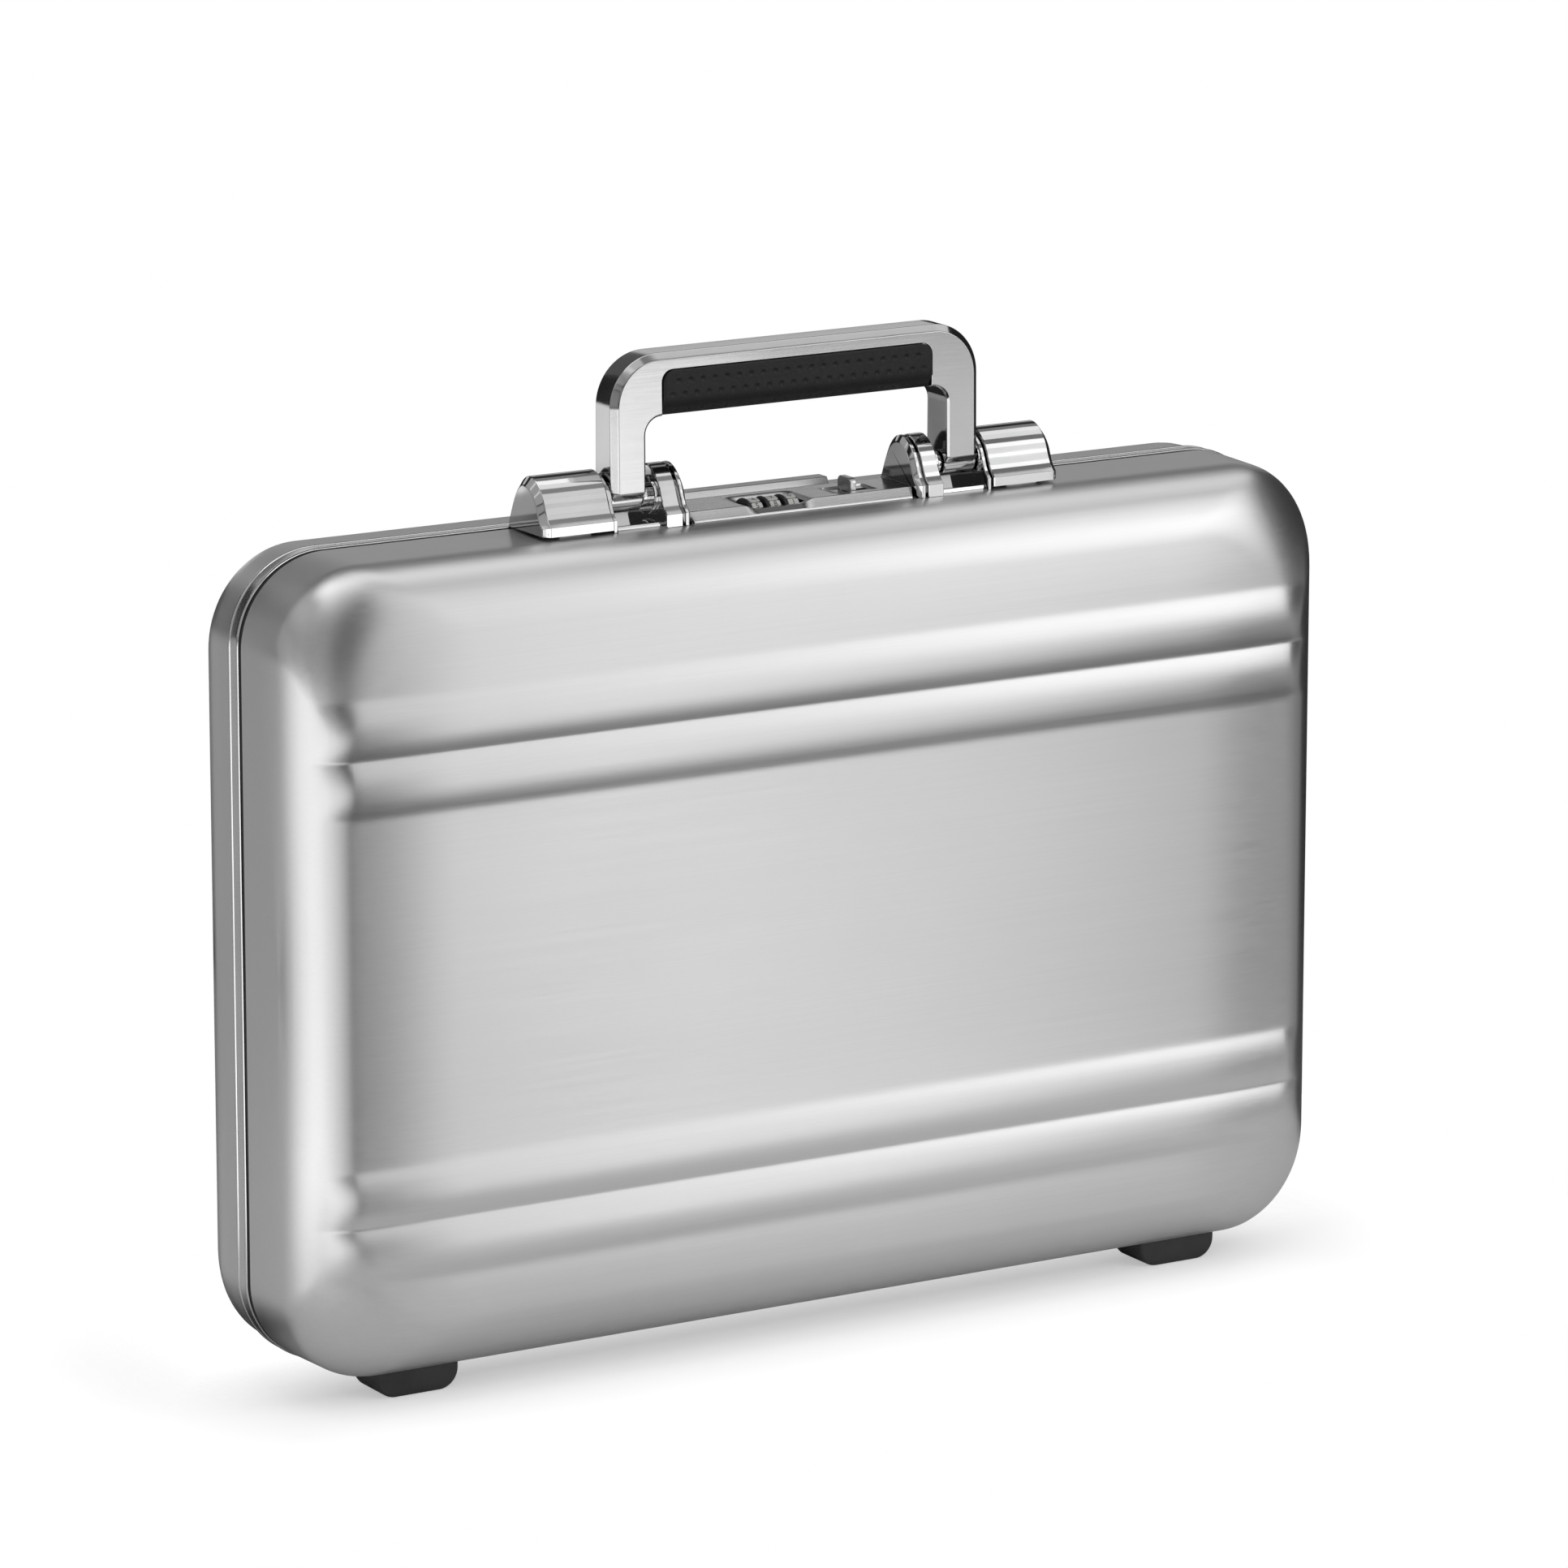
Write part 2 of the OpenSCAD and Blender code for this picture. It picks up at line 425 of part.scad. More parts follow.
// ---------- hinges ----------
hx = 115;                      // middle of each hinge
module hinge_leaves_base() color([0.6, 0.6, 0.62]) pair() difference() {
    union() {
        box(hx - 20, hx + 20, -14, -3.2, foot_h - 1.4, foot_h - 0.15);
        for (k = [[hx - 20, hx - 8], [hx + 8, hx + 20]]) {
            box(k[0], k[1], -3.3, 0.2, foot_h - 1.4, foot_h - 0.15);
            xcyl(k[0], k[1], hinge_y, hinge_z, 2.65);
        }
    }
    xcyl(hx - 21, hx + 21, hinge_y, hinge_z, 1.25);
    for (x = [-14, 14]) zcyl(hx + x, -9, foot_h - 3, foot_h + 1, 1.3);
}
module hinge_leaves_lid() color([0.6, 0.6, 0.62]) pair() difference() {
    union() {
        box(hx - 20, hx + 20, 3.2, 13, foot_h - 1.8, foot_h - 0.55);
        box(hx - 7.7, hx + 7.7, 0, 3.3, foot_h - 1.8, foot_h - 0.55);
        xcyl(hx - 7.7, hx + 7.7, hinge_y, hinge_z, 2.65);
    }
    xcyl(hx - 21, hx + 21, hinge_y, hinge_z, 1.25);
    for (x = [-14, 14]) zcyl(hx + x, 8.2, foot_h - 3, foot_h + 1, 1.3);
}
module hinge_pins() color([0.7, 0.7, 0.7]) pair() xcyl(hx - 19.8, hx + 19.8, hinge_y, hinge_z, 1.2);
module hinge_rivets_base() color([0.7, 0.7, 0.7]) pair() for (x = [-14, 14]) union() {
    zcyl(hx + x, -9, foot_h - 2.2, foot_h - 0.1, 1.25);
    zcyl(hx + x, -9, foot_h - 2.4, foot_h - 1.42, 2.2);
}
module hinge_rivets_lid() color([0.7, 0.7, 0.7]) pair() for (x = [-14, 14]) union() {
    zcyl(hx + x, 8.2, foot_h - 2.6, foot_h - 0.4, 1.25);
    zcyl(hx + x, 8.2, foot_h - 2.8, foot_h - 1.82, 2.2);
}

// ---------- lid stays ----------
// flat arm in a plane of constant x, from (y0, z0) to (y1, z1)
module arm(x0, x1, y0, z0, y1, z1) {
    l = sqrt(pow(y1 - y0, 2) + pow(z1 - z0, 2));
    a = atan2(z1 - z0, y1 - y0);
    translate([x0, y0, z0]) rotate([90, 0, 90]) rotate([0, 0, a]) linear_extrude(height = x1 - x0) union() {
        translate([0, -3.6]) square([l, 7.2]);
        circle(r = 3.6, $fn = 40);
        translate([l, 0]) circle(r = 3.6, $fn = 40);
    }
}
module stay_arms_lower() color([0.7, 0.7, 0.72]) pair() difference() {
    arm(stay_x - 0.75, stay_x + 0.75, stay_py, stay_pz, stay_ey, stay_ez);
    xcyl(stay_x - 2, stay_x + 2, stay_py, stay_pz, 2.05);
    xcyl(stay_x - 2, stay_x + 2, stay_ey, stay_ez, 1.5);
}
module stay_arms_upper() color([0.68, 0.68, 0.7]) pair() difference() {
    arm(stay_x + 1.15, stay_x + 2.65, stay_qy, stay_qz, stay_ey, stay_ez);
    xcyl(stay_x, stay_x + 4, stay_qy, stay_qz, 2.05);
    xcyl(stay_x, stay_x + 4, stay_ey, stay_ez, 1.9);
}
module stay_elbow_pins() color([0.6, 0.6, 0.6]) pair() union() {
    xcyl(stay_x - 0.9, stay_x + 2.9, stay_ey, stay_ez, 1.48);
    xcyl(stay_x - 1.6, stay_x - 0.77, stay_ey, stay_ez, 2.6);
    xcyl(stay_x + 0.77, stay_x + 2.9, stay_ey, stay_ez, 1.8);
}
module stay_posts_base() color([0.6, 0.6, 0.6]) pair() union() {
    xcyl(stay_x - 0.9, hw - 8.05, stay_py, stay_pz, 2.0);
    xcyl(stay_x - 1.7, stay_x - 0.8, stay_py, stay_pz, 3.0);
}
module stay_posts_lid() color([0.6, 0.6, 0.6]) pair() union() {
    xcyl(stay_x + 1.0, hw - 8.05, stay_qy, stay_qz, 2.0);
}

base_shell();
base_frame();
gasket();
base_lining();
base_feet();
base_foot_screws();
lid_shell();
lid_frame();
lid_lining();
lid_feet();
lid_foot_screws();
badge_plate();
handle_bracket_left();
handle_bracket_right();
lug_cap_left();
lug_cap_right();
handle_pins();
bracket_screws();
handle_bail();
handle_grip();
latch_mount_left();
latch_mount_right();
latch_cover_left();
latch_cover_right();
latch_hook_left();
latch_hook_right();
latch_pins();
latch_spring_left();
latch_spring_right();
keeper_left();
keeper_right();
lock_plate();
lock_housing();
lock_screws();
dial_axle();
dial_1();
dial_2();
dial_3();
slide_button();
slide_bar();
slide_spring();
hinge_leaves_base();
hinge_leaves_lid();
hinge_pins();
hinge_rivets_base();
hinge_rivets_lid();
stay_arms_lower();
stay_arms_upper();
stay_elbow_pins();
stay_posts_base();
stay_posts_lid();
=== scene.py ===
import json
import math

import bpy
import bmesh
import numpy as np
from mathutils import Matrix, Vector


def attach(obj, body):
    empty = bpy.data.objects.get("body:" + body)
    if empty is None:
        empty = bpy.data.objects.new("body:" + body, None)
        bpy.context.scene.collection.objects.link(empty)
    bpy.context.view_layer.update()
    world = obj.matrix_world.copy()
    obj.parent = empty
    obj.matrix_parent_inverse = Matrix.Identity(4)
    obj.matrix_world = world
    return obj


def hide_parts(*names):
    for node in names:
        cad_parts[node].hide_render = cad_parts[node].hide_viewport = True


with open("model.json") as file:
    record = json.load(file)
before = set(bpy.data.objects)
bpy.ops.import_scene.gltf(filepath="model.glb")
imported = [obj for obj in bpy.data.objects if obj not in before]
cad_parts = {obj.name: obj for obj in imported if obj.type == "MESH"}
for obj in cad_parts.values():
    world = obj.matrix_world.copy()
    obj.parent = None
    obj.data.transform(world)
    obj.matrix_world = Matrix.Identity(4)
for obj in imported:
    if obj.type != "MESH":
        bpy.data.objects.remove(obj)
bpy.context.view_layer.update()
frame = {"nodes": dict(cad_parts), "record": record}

# ------------------------------------------------------------------ sizes, in mm, as in the CAD
CASE_W, CASE_H, BASE_D, LID_D = 457.0, 313.0, 51.4, 46.0
CORNER, EDGE, EDGE_Z, DRAFT, WALL = 35.0, 23.0, 27.0, 0.018, 1.4
RIB_H, RIB_W, RIB_LOW, RIB_HIGH = 1.9, 22.0, 64.5, 243.0
FOOT_H, FOOT_L, FOOT_X = 10.0, 35.0, 172.0
HW, ZT, GROW = CASE_W / 2, FOOT_H + CASE_H, 0.7
PIN_Y, PIN_Z = -14.0, ZT + 10
LATCH_Y, LATCH_Z = -26.3, ZT + 2
DIAL_Y, DIAL_Z, DIAL_C, DIAL_P = -15.5, ZT - 2, -9.5, 8.0
SLIDE_X, TRAVEL = 26.4, 7.0


# ------------------------------------------------------------------ mesh helpers
def make(name, verts, faces, body, mat, slot, nodes=(), sharp=32.0, fix=True, even=True):
    """One piece: a mesh in millimetres that rides on a body and stands for CAD nodes."""
    me = bpy.data.meshes.new(name)
    me.from_pydata([tuple(float(c) * 0.001 for c in v) for v in verts], [], [tuple(int(i) for i in f) for f in faces])
    if fix:
        bm = bmesh.new()
        bm.from_mesh(me)
        bmesh.ops.recalc_face_normals(bm, faces=bm.faces)
        bm.to_mesh(me)
        bm.free()
    me.shade_smooth()
    me.set_sharp_from_angle(angle=math.radians(sharp))
    ob = bpy.data.objects.new(name, me)
    bpy.context.scene.collection.objects.link(ob)
    me.materials.append(mat)
    if even:
        wn = ob.modifiers.new("weighted", "WEIGHTED_NORMAL")
        wn.keep_sharp, wn.weight = True, 80
    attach(ob, body)
    if nodes:
        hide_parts(*nodes)
    return ob


class Build:
    """Collects islands of one mesh."""

    def __init__(self):
        self.v, self.f = [], []

    def add(self, verts, faces):
        o = len(self.v)
        self.v += [tuple(p) for p in verts]
        self.f += [tuple(i + o for i in f) for f in faces]
        return self

    def loft(self, rings, caps=(True, True), close=False):
        """Skins equal closed rings in order."""
        n, m = len(rings[0]), len(rings)
        verts = [p for r in rings for p in r]
        faces = []
        for k in range(m if close else m - 1):
            a, b = k * n, ((k + 1) % m) * n
            for j in range(n):
                j2 = (j + 1) % n
                faces.append((a + j, a + j2, b + j2, b + j))
        if not close:
            if caps[0]:
                faces.append(tuple(range(n))[::-1])
            if caps[1]:
                faces.append(tuple((m - 1) * n + j for j in range(n)))
        return self.add(verts, faces)

    def mirror_x(self):
        self.v = [(-x, y, z) for x, y, z in self.v]
        return self

    def out(self, *a, **k):
        return make(a[0], self.v, self.f, *a[1:], **k)


def arc(cx, cy, r, a0, a1, n):
    """Points on an arc, angles in degrees."""
    return [(cx + r * math.cos(math.radians(a0 + (a1 - a0) * i / n)), cy + r * math.sin(math.radians(a0 + (a1 - a0) * i / n))) for i in range(n + 1)]


def offset(pts, offs):
    """A closed outline moved inwards, edge by edge. pts runs counter-clockwise, offs[i] belongs to the edge from i to i+1."""
    p = np.array(pts, float)
    n = len(p)
    d = np.roll(p, -1, 0) - p
    ln = np.hypot(d[:, 0], d[:, 1])
    t = d / ln[:, None]
    nrm = np.stack([-t[:, 1], t[:, 0]], 1)
    out = []
    for i in range(n):
        a, b = (i - 1) % n, i
        na, nb, oa, ob = nrm[a], nrm[b], offs[a], offs[b]
        det = na[0] * nb[1] - na[1] * nb[0]
        if abs(det) < 0.02:
            m = na + nb
            m /= np.hypot(*m)
            out.append(p[i] + m * (oa + ob) / 2)
        else:
            out.append(p[i] + np.array([(oa * nb[1] - ob * na[1]) / det, (na[0] * ob - nb[0] * oa) / det]))
    return [tuple(q) for q in out]


def bspline(pts, per=4):
    """Clamped cubic B-spline through the run of points, which it smooths."""
    p = [np.array(q, float) for q in pts]
    p = [2 * p[0] - p[1]] + p + [2 * p[-1] - p[-2]]
    out = []
    for i in range(len(p) - 3):
        for k in range(per):
            u = k / per
            out.append(((1 - u) ** 3 * p[i] + (3 * u**3 - 6 * u**2 + 4) * p[i + 1] + (-3 * u**3 + 3 * u**2 + 3 * u + 1) * p[i + 2] + u**3 * p[i + 3]) / 6)
    out.append((p[-4 + 1 - 0] + 4 * p[-2] + p[-1]) / 6 if len(p) > 3 else p[-2])
    out[-1] = np.array(pts[-1], float)
    return [tuple(q) for q in out]


# ------------------------------------------------------------------ material helpers
class Mat:
    """Node material on one Principled shader, with noise in object space."""

    def __init__(self, name, **sockets):
        self.m = bpy.data.materials.new(name)
        self.m.use_nodes = True
        self.nt = self.m.node_tree
        self.nt.nodes.clear()
        self.out = self.nt.nodes.new("ShaderNodeOutputMaterial")
        self.p = self.nt.nodes.new("ShaderNodeBsdfPrincipled")
        self.nt.links.new(self.p.outputs[0], self.out.inputs[0])
        for k, v in sockets.items():
            self.p.inputs[k.replace("_", " ")].default_value = v
        self.co = self.nt.nodes.new("ShaderNodeTexCoord").outputs["Object"]

    def n(self, kind, **props):
        node = self.nt.nodes.new(kind)
        for k, v in props.items():
            setattr(node, k, v)
        return node

    def link(self, a, b):
        self.nt.links.new(a, b)

    def mapped(self, scale, co=None):
        mp = self.n("ShaderNodeMapping")
        mp.inputs["Scale"].default_value = scale
        self.link(co or self.co, mp.inputs["Vector"])
        return mp.outputs[0]

    def noise(self, scale=(1, 1, 1), freq=1.0, detail=2.0, rough=0.5, co=None):
        t = self.n("ShaderNodeTexNoise")
        t.inputs["Scale"].default_value = freq
        t.inputs["Detail"].default_value = detail
        t.inputs["Roughness"].default_value = rough
        self.link(self.mapped(scale, co), t.inputs["Vector"])
        return t.outputs["Fac"]

    def voronoi(self, freq, scale=(1, 1, 1), feature="F1", out="Distance"):
        t = self.n("ShaderNodeTexVoronoi", feature=feature)
        t.inputs["Scale"].default_value = freq
        self.link(self.mapped(scale), t.inputs["Vector"])
        return t.outputs[out]

    def ranged(self, value, lo, hi, a=0.0, b=1.0):
        r = self.n("ShaderNodeMapRange")
        self.link(value, r.inputs["Value"])
        for k, v in (("From Min", a), ("From Max", b), ("To Min", lo), ("To Max", hi)):
            r.inputs[k].default_value = v
        return r.outputs["Result"]

    def math(self, op, a, b=None, clamp=False):
        r = self.n("ShaderNodeMath", operation=op, use_clamp=clamp)
        for i, v in enumerate((a, b)):
            if v is None:
                continue
            if isinstance(v, (int, float)):
                r.inputs[i].default_value = v
            else:
                self.link(v, r.inputs[i])
        return r.outputs[0]

    def ramp(self, fac, stops):
        r = self.n("ShaderNodeValToRGB")
        e = r.color_ramp.elements
        while len(e) < len(stops):
            e.new(0.5)
        for el, (pos, c) in zip(e, stops):
            el.position = pos
            el.color = (c[0], c[1], c[2], 1)
        self.link(fac, r.inputs["Fac"])
        return r.outputs["Color"]

    def colour(self, fac, a, b, lo=0.3, hi=0.7):
        self.link(self.ramp(fac, [(lo, a), (hi, b)]), self.p.inputs["Base Color"])
        return self

    def roughness(self, value, lo, hi, a=0.3, b=0.7):
        self.link(self.ranged(value, lo, hi, a, b), self.p.inputs["Roughness"])
        return self

    def bump(self, height, strength, dist):
        b = self.n("ShaderNodeBump")
        b.inputs["Strength"].default_value = strength
        b.inputs["Distance"].default_value = dist
        self.link(height, b.inputs["Height"])
        self.link(b.outputs[0], self.p.inputs["Normal"])
        return self


def satin_shell():
    m = Mat("shell_aluminium", Metallic=1.0, Anisotropic=0.55, Anisotropic_Rotation=0.0)
    fine = m.noise((14, 2200, 2200), 1.0, 3.0, 0.6)
    coarse = m.noise((5, 620, 620), 1.0, 3.0, 0.6)
    cloud = m.noise((6, 6, 6), 1.0, 3.0, 0.5)
    both = m.math("ADD", m.math("MULTIPLY", fine, 0.55), m.math("MULTIPLY", coarse, 0.45))
    m.link(m.ramp(m.math("ADD", m.math("MULTIPLY", both, 0.6), m.math("MULTIPLY", cloud, 0.4)), [(0.32, (0.605, 0.605, 0.606)), (0.68, (0.67, 0.67, 0.671))]), m.p.inputs["Base Color"])
    m.roughness(both, 0.315, 0.375, 0.3, 0.7)
    tan = m.n("ShaderNodeTangent", direction_type="RADIAL", axis="X")
    m.link(tan.outputs[0], m.p.inputs["Tangent"])
    m.bump(both, 0.035, 0.0003)
    return m.m


def satin_rim():
    m = Mat("rim_aluminium", Metallic=1.0)
    line = m.noise((60, 1400, 60), 1.0, 3.0, 0.6)
    cloud = m.noise((30, 30, 30), 1.0, 2.0, 0.5)
    m.colour(cloud, (0.60, 0.60, 0.602), (0.66, 0.66, 0.662))
    m.roughness(line, 0.15, 0.24)
    m.bump(line, 0.05, 0.0003)
    return m.m


def chrome():
    m = Mat("chrome", Metallic=1.0)
    haze = m.noise((35, 35, 35), 1.0, 4.0, 0.6)
    fine = m.noise((900, 900, 900), 1.0, 2.0, 0.5)
    m.colour(haze, (0.56, 0.561, 0.564), (0.61, 0.611, 0.614))
    m.roughness(m.math("ADD", m.math("MULTIPLY", haze, 0.7), m.math("MULTIPLY", fine, 0.3)), 0.055, 0.11)
    return m.m


def shaded_bow_chrome():
    # painted shade: the same chrome as the brackets, made darker so the bow's reflections come out dimmer
    m = Mat("shaded_bow_chrome", Metallic=1.0)
    haze = m.noise((35, 35, 35), 1.0, 4.0, 0.6)
    line = m.noise((40, 1600, 1600), 1.0, 3.0, 0.6)
    m.colour(haze, (0.42, 0.42, 0.422), (0.47, 0.47, 0.472))
    m.roughness(m.math("ADD", m.math("MULTIPLY", haze, 0.5), m.math("MULTIPLY", line, 0.5)), 0.10, 0.15)
    m.bump(line, 0.03, 0.0002)
    return m.m


def satin_chrome():
    m = Mat("satin_chrome", Metallic=1.0)
    fine = m.noise((40, 2200, 2200), 1.0, 3.0, 0.6)
    cloud = m.noise((40, 40, 40), 1.0, 2.0, 0.5)
    m.colour(cloud, (0.51, 0.51, 0.512), (0.57, 0.57, 0.572))
    m.roughness(fine, 0.20, 0.30)
    m.bump(fine, 0.06, 0.0002)
    return m.m


def blank_plate():
    m = Mat("blank_plate", Metallic=1.0)
    fine = m.noise((40, 2200, 2200), 1.0, 3.0, 0.6)
    m.colour(fine, (0.42, 0.42, 0.422), (0.49, 0.49, 0.492))
    m.roughness(fine, 0.24, 0.34)
    m.bump(fine, 0.06, 0.0002)
    return m.m


def steel():
    m = Mat("steel", Metallic=1.0)
    grain = m.noise((500, 500, 500), 1.0, 4.0, 0.6)
    cloud = m.voronoi(260, feature="SMOOTH_F1")
    m.colour(cloud, (0.50, 0.505, 0.52), (0.60, 0.605, 0.61), 0.1, 0.8)
    m.roughness(grain, 0.26, 0.42)
    m.bump(grain, 0.08, 0.0002)
    return m.m


def foot_rubber():
    m = Mat("foot_rubber", Specular_IOR_Level=0.35)
    grain = m.noise((1500, 1500, 1500), 1.0, 3.0, 0.6)
    cloud = m.noise((60, 60, 60), 1.0, 3.0, 0.5)
    m.colour(cloud, (0.040, 0.040, 0.041), (0.056, 0.056, 0.057))
    m.roughness(grain, 0.48, 0.66)
    m.bump(grain, 0.25, 0.0002)
    return m.m


def gasket_rubber():
    m = Mat("gasket_rubber", Specular_IOR_Level=0.3)
    grain = m.noise((900, 900, 900), 1.0, 2.0, 0.5)
    m.colour(grain, (0.018, 0.018, 0.018), (0.030, 0.030, 0.030))
    m.roughness(grain, 0.55, 0.75)
    m.bump(grain, 0.2, 0.0002)
    return m.m


def lining_fabric():
    m = Mat("lining_fabric", Sheen_Weight=0.35, Sheen_Roughness=0.45, Specular_IOR_Level=0.25)
    # two crossed thread waves make the weave, 1.1 mm pitch
    sep = m.n("ShaderNodeSeparateXYZ")
    m.link(m.co, sep.inputs[0])
    pitch = 2 * math.pi / 0.0011
    wx = m.math("SINE", m.math("MULTIPLY", sep.outputs[0], pitch))
    run = m.math("ADD", sep.outputs[2], sep.outputs[1])
    wz = m.math("SINE", m.math("MULTIPLY", run, pitch))
    weave = m.math("ADD", m.math("MULTIPLY", m.math("MULTIPLY", wx, wz), 0.25), 0.5)
    fuzz = m.noise((2600, 2600, 2600), 1.0, 3.0, 0.6)
    cloud = m.noise((18, 18, 18), 1.0, 3.0, 0.5)
    h = m.math("ADD", m.math("MULTIPLY", weave, 0.75), m.math("MULTIPLY", fuzz, 0.25))
    mix = m.math("ADD", m.math("MULTIPLY", h, 0.6), m.math("MULTIPLY", cloud, 0.4))
    m.colour(mix, (0.030, 0.031, 0.035), (0.072, 0.074, 0.080))
    m.roughness(h, 0.78, 0.95)
    m.bump(h, 0.45, 0.0003)
    return m.m


def piping_cord():
    m = Mat("lining_piping", Sheen_Weight=0.2, Specular_IOR_Level=0.3)
    twist = m.noise((900, 900, 900), 1.0, 2.0, 0.5)
    m.colour(twist, (0.014, 0.014, 0.016), (0.03, 0.03, 0.033))
    m.roughness(twist, 0.6, 0.8)
    m.bump(twist, 0.4, 0.0002)
    return m.m


def grip_leather():
    m = Mat("grip_leather", Coat_Weight=0.08, Coat_Roughness=0.25, Specular_IOR_Level=0.38)
    grain = m.voronoi(1500, feature="SMOOTH_F1")
    pore = m.noise((2200, 2200, 2200), 1.0, 3.0, 0.6)
    cloud = m.noise((90, 90, 90), 1.0, 3.0, 0.5)
    h = m.math("ADD", m.math("MULTIPLY", grain, 0.7), m.math("MULTIPLY", pore, 0.3))
    m.colour(cloud, (0.0045, 0.0045, 0.0048), (0.008, 0.008, 0.0085))
    m.roughness(h, 0.46, 0.62, 0.2, 0.7)
    m.bump(h, 0.35, 0.00015)
    return m.m


def housing_plastic():
    m = Mat("housing_plastic", Specular_IOR_Level=0.45)
    spark = m.noise((700, 700, 700), 1.0, 4.0, 0.7)
    m.colour(spark, (0.016, 0.016, 0.018), (0.030, 0.030, 0.033))
    m.roughness(spark, 0.42, 0.6)
    m.bump(spark, 0.3, 0.0002)
    return m.m


def dial_plastic():
    m = Mat("dial_plastic", Specular_IOR_Level=0.5)
    cloud = m.noise((400, 400, 400), 1.0, 3.0, 0.6)
    m.colour(cloud, (0.62, 0.62, 0.605), (0.70, 0.70, 0.685))
    m.roughness(cloud, 0.22, 0.36)
    return m.m


def digit_ink():
    m = Mat("digit_ink", Specular_IOR_Level=0.4)
    cloud = m.noise((900, 900, 900), 1.0, 2.0, 0.5)
    m.colour(cloud, (0.012, 0.012, 0.012), (0.03, 0.03, 0.03))
    m.roughness(cloud, 0.35, 0.5)
    return m.m


M_SHELL, M_RIM, M_CHROME, M_SATIN = satin_shell(), satin_rim(), chrome(), satin_chrome()
M_BLANK, M_STEEL, M_FOOT, M_GASKET = blank_plate(), steel(), foot_rubber(), gasket_rubber()
M_LINING, M_PIPING, M_GRIP, M_HOUSING = lining_fabric(), piping_cord(), grip_leather(), housing_plastic()
M_DIAL, M_INK, M_BOW = dial_plastic(), digit_ink(), shaded_bow_chrome()
BY_SLOT = {
    "shell_aluminium": M_SHELL, "rim_aluminium": M_RIM, "gasket_rubber": M_GASKET, "lining_fabric": M_LINING,
    "foot_rubber": M_FOOT, "chrome": M_CHROME, "grip_leather": M_GRIP, "satin_chrome": M_SATIN, "steel": M_STEEL,
    "housing_plastic": M_HOUSING, "dial_plastic": M_DIAL, "blank_plate": M_BLANK,
}
for sub in frame["record"]["subparts"]:
    ob = frame["nodes"][sub["node"]]
    ob.data.materials.clear()
    ob.data.materials.append(BY_SLOT[sub["material_slot"]])


# ------------------------------------------------------------------ shells
def smoothstep(a, b, v):
    u = max(0.0, min(1.0, (v - a) / (b - a)))
    return u * u * (3 - 2 * u)


_tt = np.arange(-26, 26.001, 0.05)
_raw = np.where(np.abs(_tt) < RIB_W, RIB_H * (1 - ((np.abs(_tt) - RIB_W / 2) / (RIB_W / 2)) ** 2), 0.0)


def _soft(sig):
    k = np.exp(-0.5 * (np.arange(-4, 4.001, 0.05) / sig) ** 2)
    return np.convolve(_raw, k / k.sum(), "same")


_valley, _foot = _soft(0.55), _soft(1.3)
_w = 1 / (1 + np.exp(-(np.abs(_tt) - 11) / 1.2))
_rib = _valley * (1 - _w) + _foot * _w


def rib(z):
    return float(np.interp(z - FOOT_H - RIB_LOW, _tt, _rib, 0, 0) + np.interp(z - FOOT_H - RIB_HIGH, _tt, _rib, 0, 0))


_t = [0, 0.3, 0.7, 1.2, 1.9, 2.8, 4, 5.4, 7, 8.8, 10.6, 12.4, 14.2, 15.8, 17.2, 18.4, 19.4, 20.2, 20.8, 21.3, 21.8, 22.3, 22.9, 23.6, 24.6]
_t = sorted({-t for t in _t} | set(_t))
ROWS = [FOOT_H + RIB_LOW + t for t in _t] + [120, 145, 165, 185, 205] + [FOOT_H + RIB_HIGH + t for t in _t]
ARC = 22


def ring(t, D, i0, d, a):
    i = i0 + DRAFT * min(d, D - EDGE) + (EDGE - t) * (1 - math.cos(a))
    iz = i0 + DRAFT * min(d, D - EDGE) + (EDGE_Z - t) * (1 - math.cos(a))
    dd = D - EDGE + (EDGE - t) * math.sin(a) if a > 0 else d
    return i + t, iz + t, CORNER - t + GROW * i, dd, smoothstep(5, 22, i)


def chain(g, rows):
    """Right-hand half of one ring, from its bottom to its top, as (x, depth, z)."""
    w, b, t, r = HW - g[0], FOOT_H + g[1], ZT - g[1], g[2]
    lo, hi = rows[0], rows[-1]
    al = 90.0 if lo - b >= r else math.degrees(math.acos(1 - (lo - b) / r))
    ah = 90.0 if t - hi >= r else math.degrees(math.acos(1 - (t - hi) / r))
    sl = 1.0 if lo - b >= r else ARC / (ARC + 1)
    sh = 1.0 if t - hi >= r else ARC / (ARC + 1)
    pts = []
    for j in range(ARC + 1):
        a = math.radians(al * sl * j / ARC)
        pts.append((w - r + r * math.sin(a), g[3], b + r - r * math.cos(a)))
    for z in rows:
        cut = r - math.sqrt(max(r * r - (b + r - z) ** 2, 0)) if z < b + r else (r - math.sqrt(max(r * r - (z - t + r) ** 2, 0)) if z > t - r else 0)
        pts.append((w - cut, g[3] + g[4] * rib(z), z))
    for j in range(ARC, -1, -1):
        a = math.radians(ah * sh * j / ARC)
        pts.append((w - r + r * math.sin(a), g[3], t - r + r * math.cos(a)))
    return pts


COLS = [-100, -60, -24.4, 10, 44.4, 80, 105]
OFFS = [3, 7, 12, 18, 25, 33, 43]
END, BLEND = 84.5, 42.0
RISE = math.tan(math.radians(90 - END)) * BLEND / 2
CROWN = RISE - (EDGE - EDGE * math.sin(math.radians(END)))


def swell(x, z, g):
    """Share of the face's last rise, reached a little way in from its rounded edge."""
    w, zlo, zhi, r = HW - g[0], FOOT_H + g[1], ZT - g[1], max(g[2], BLEND * 0.8)
    qx, qz = abs(x) - (w - r), abs(z - (zlo + zhi) / 2) - ((zhi - zlo) / 2 - r)
    s = r - math.hypot(max(qx, 0.0), max(qz, 0.0)) - min(max(qx, qz), 0.0)
    return 1 - (1 - max(0.0, min(1.0, s / BLEND))) ** 2


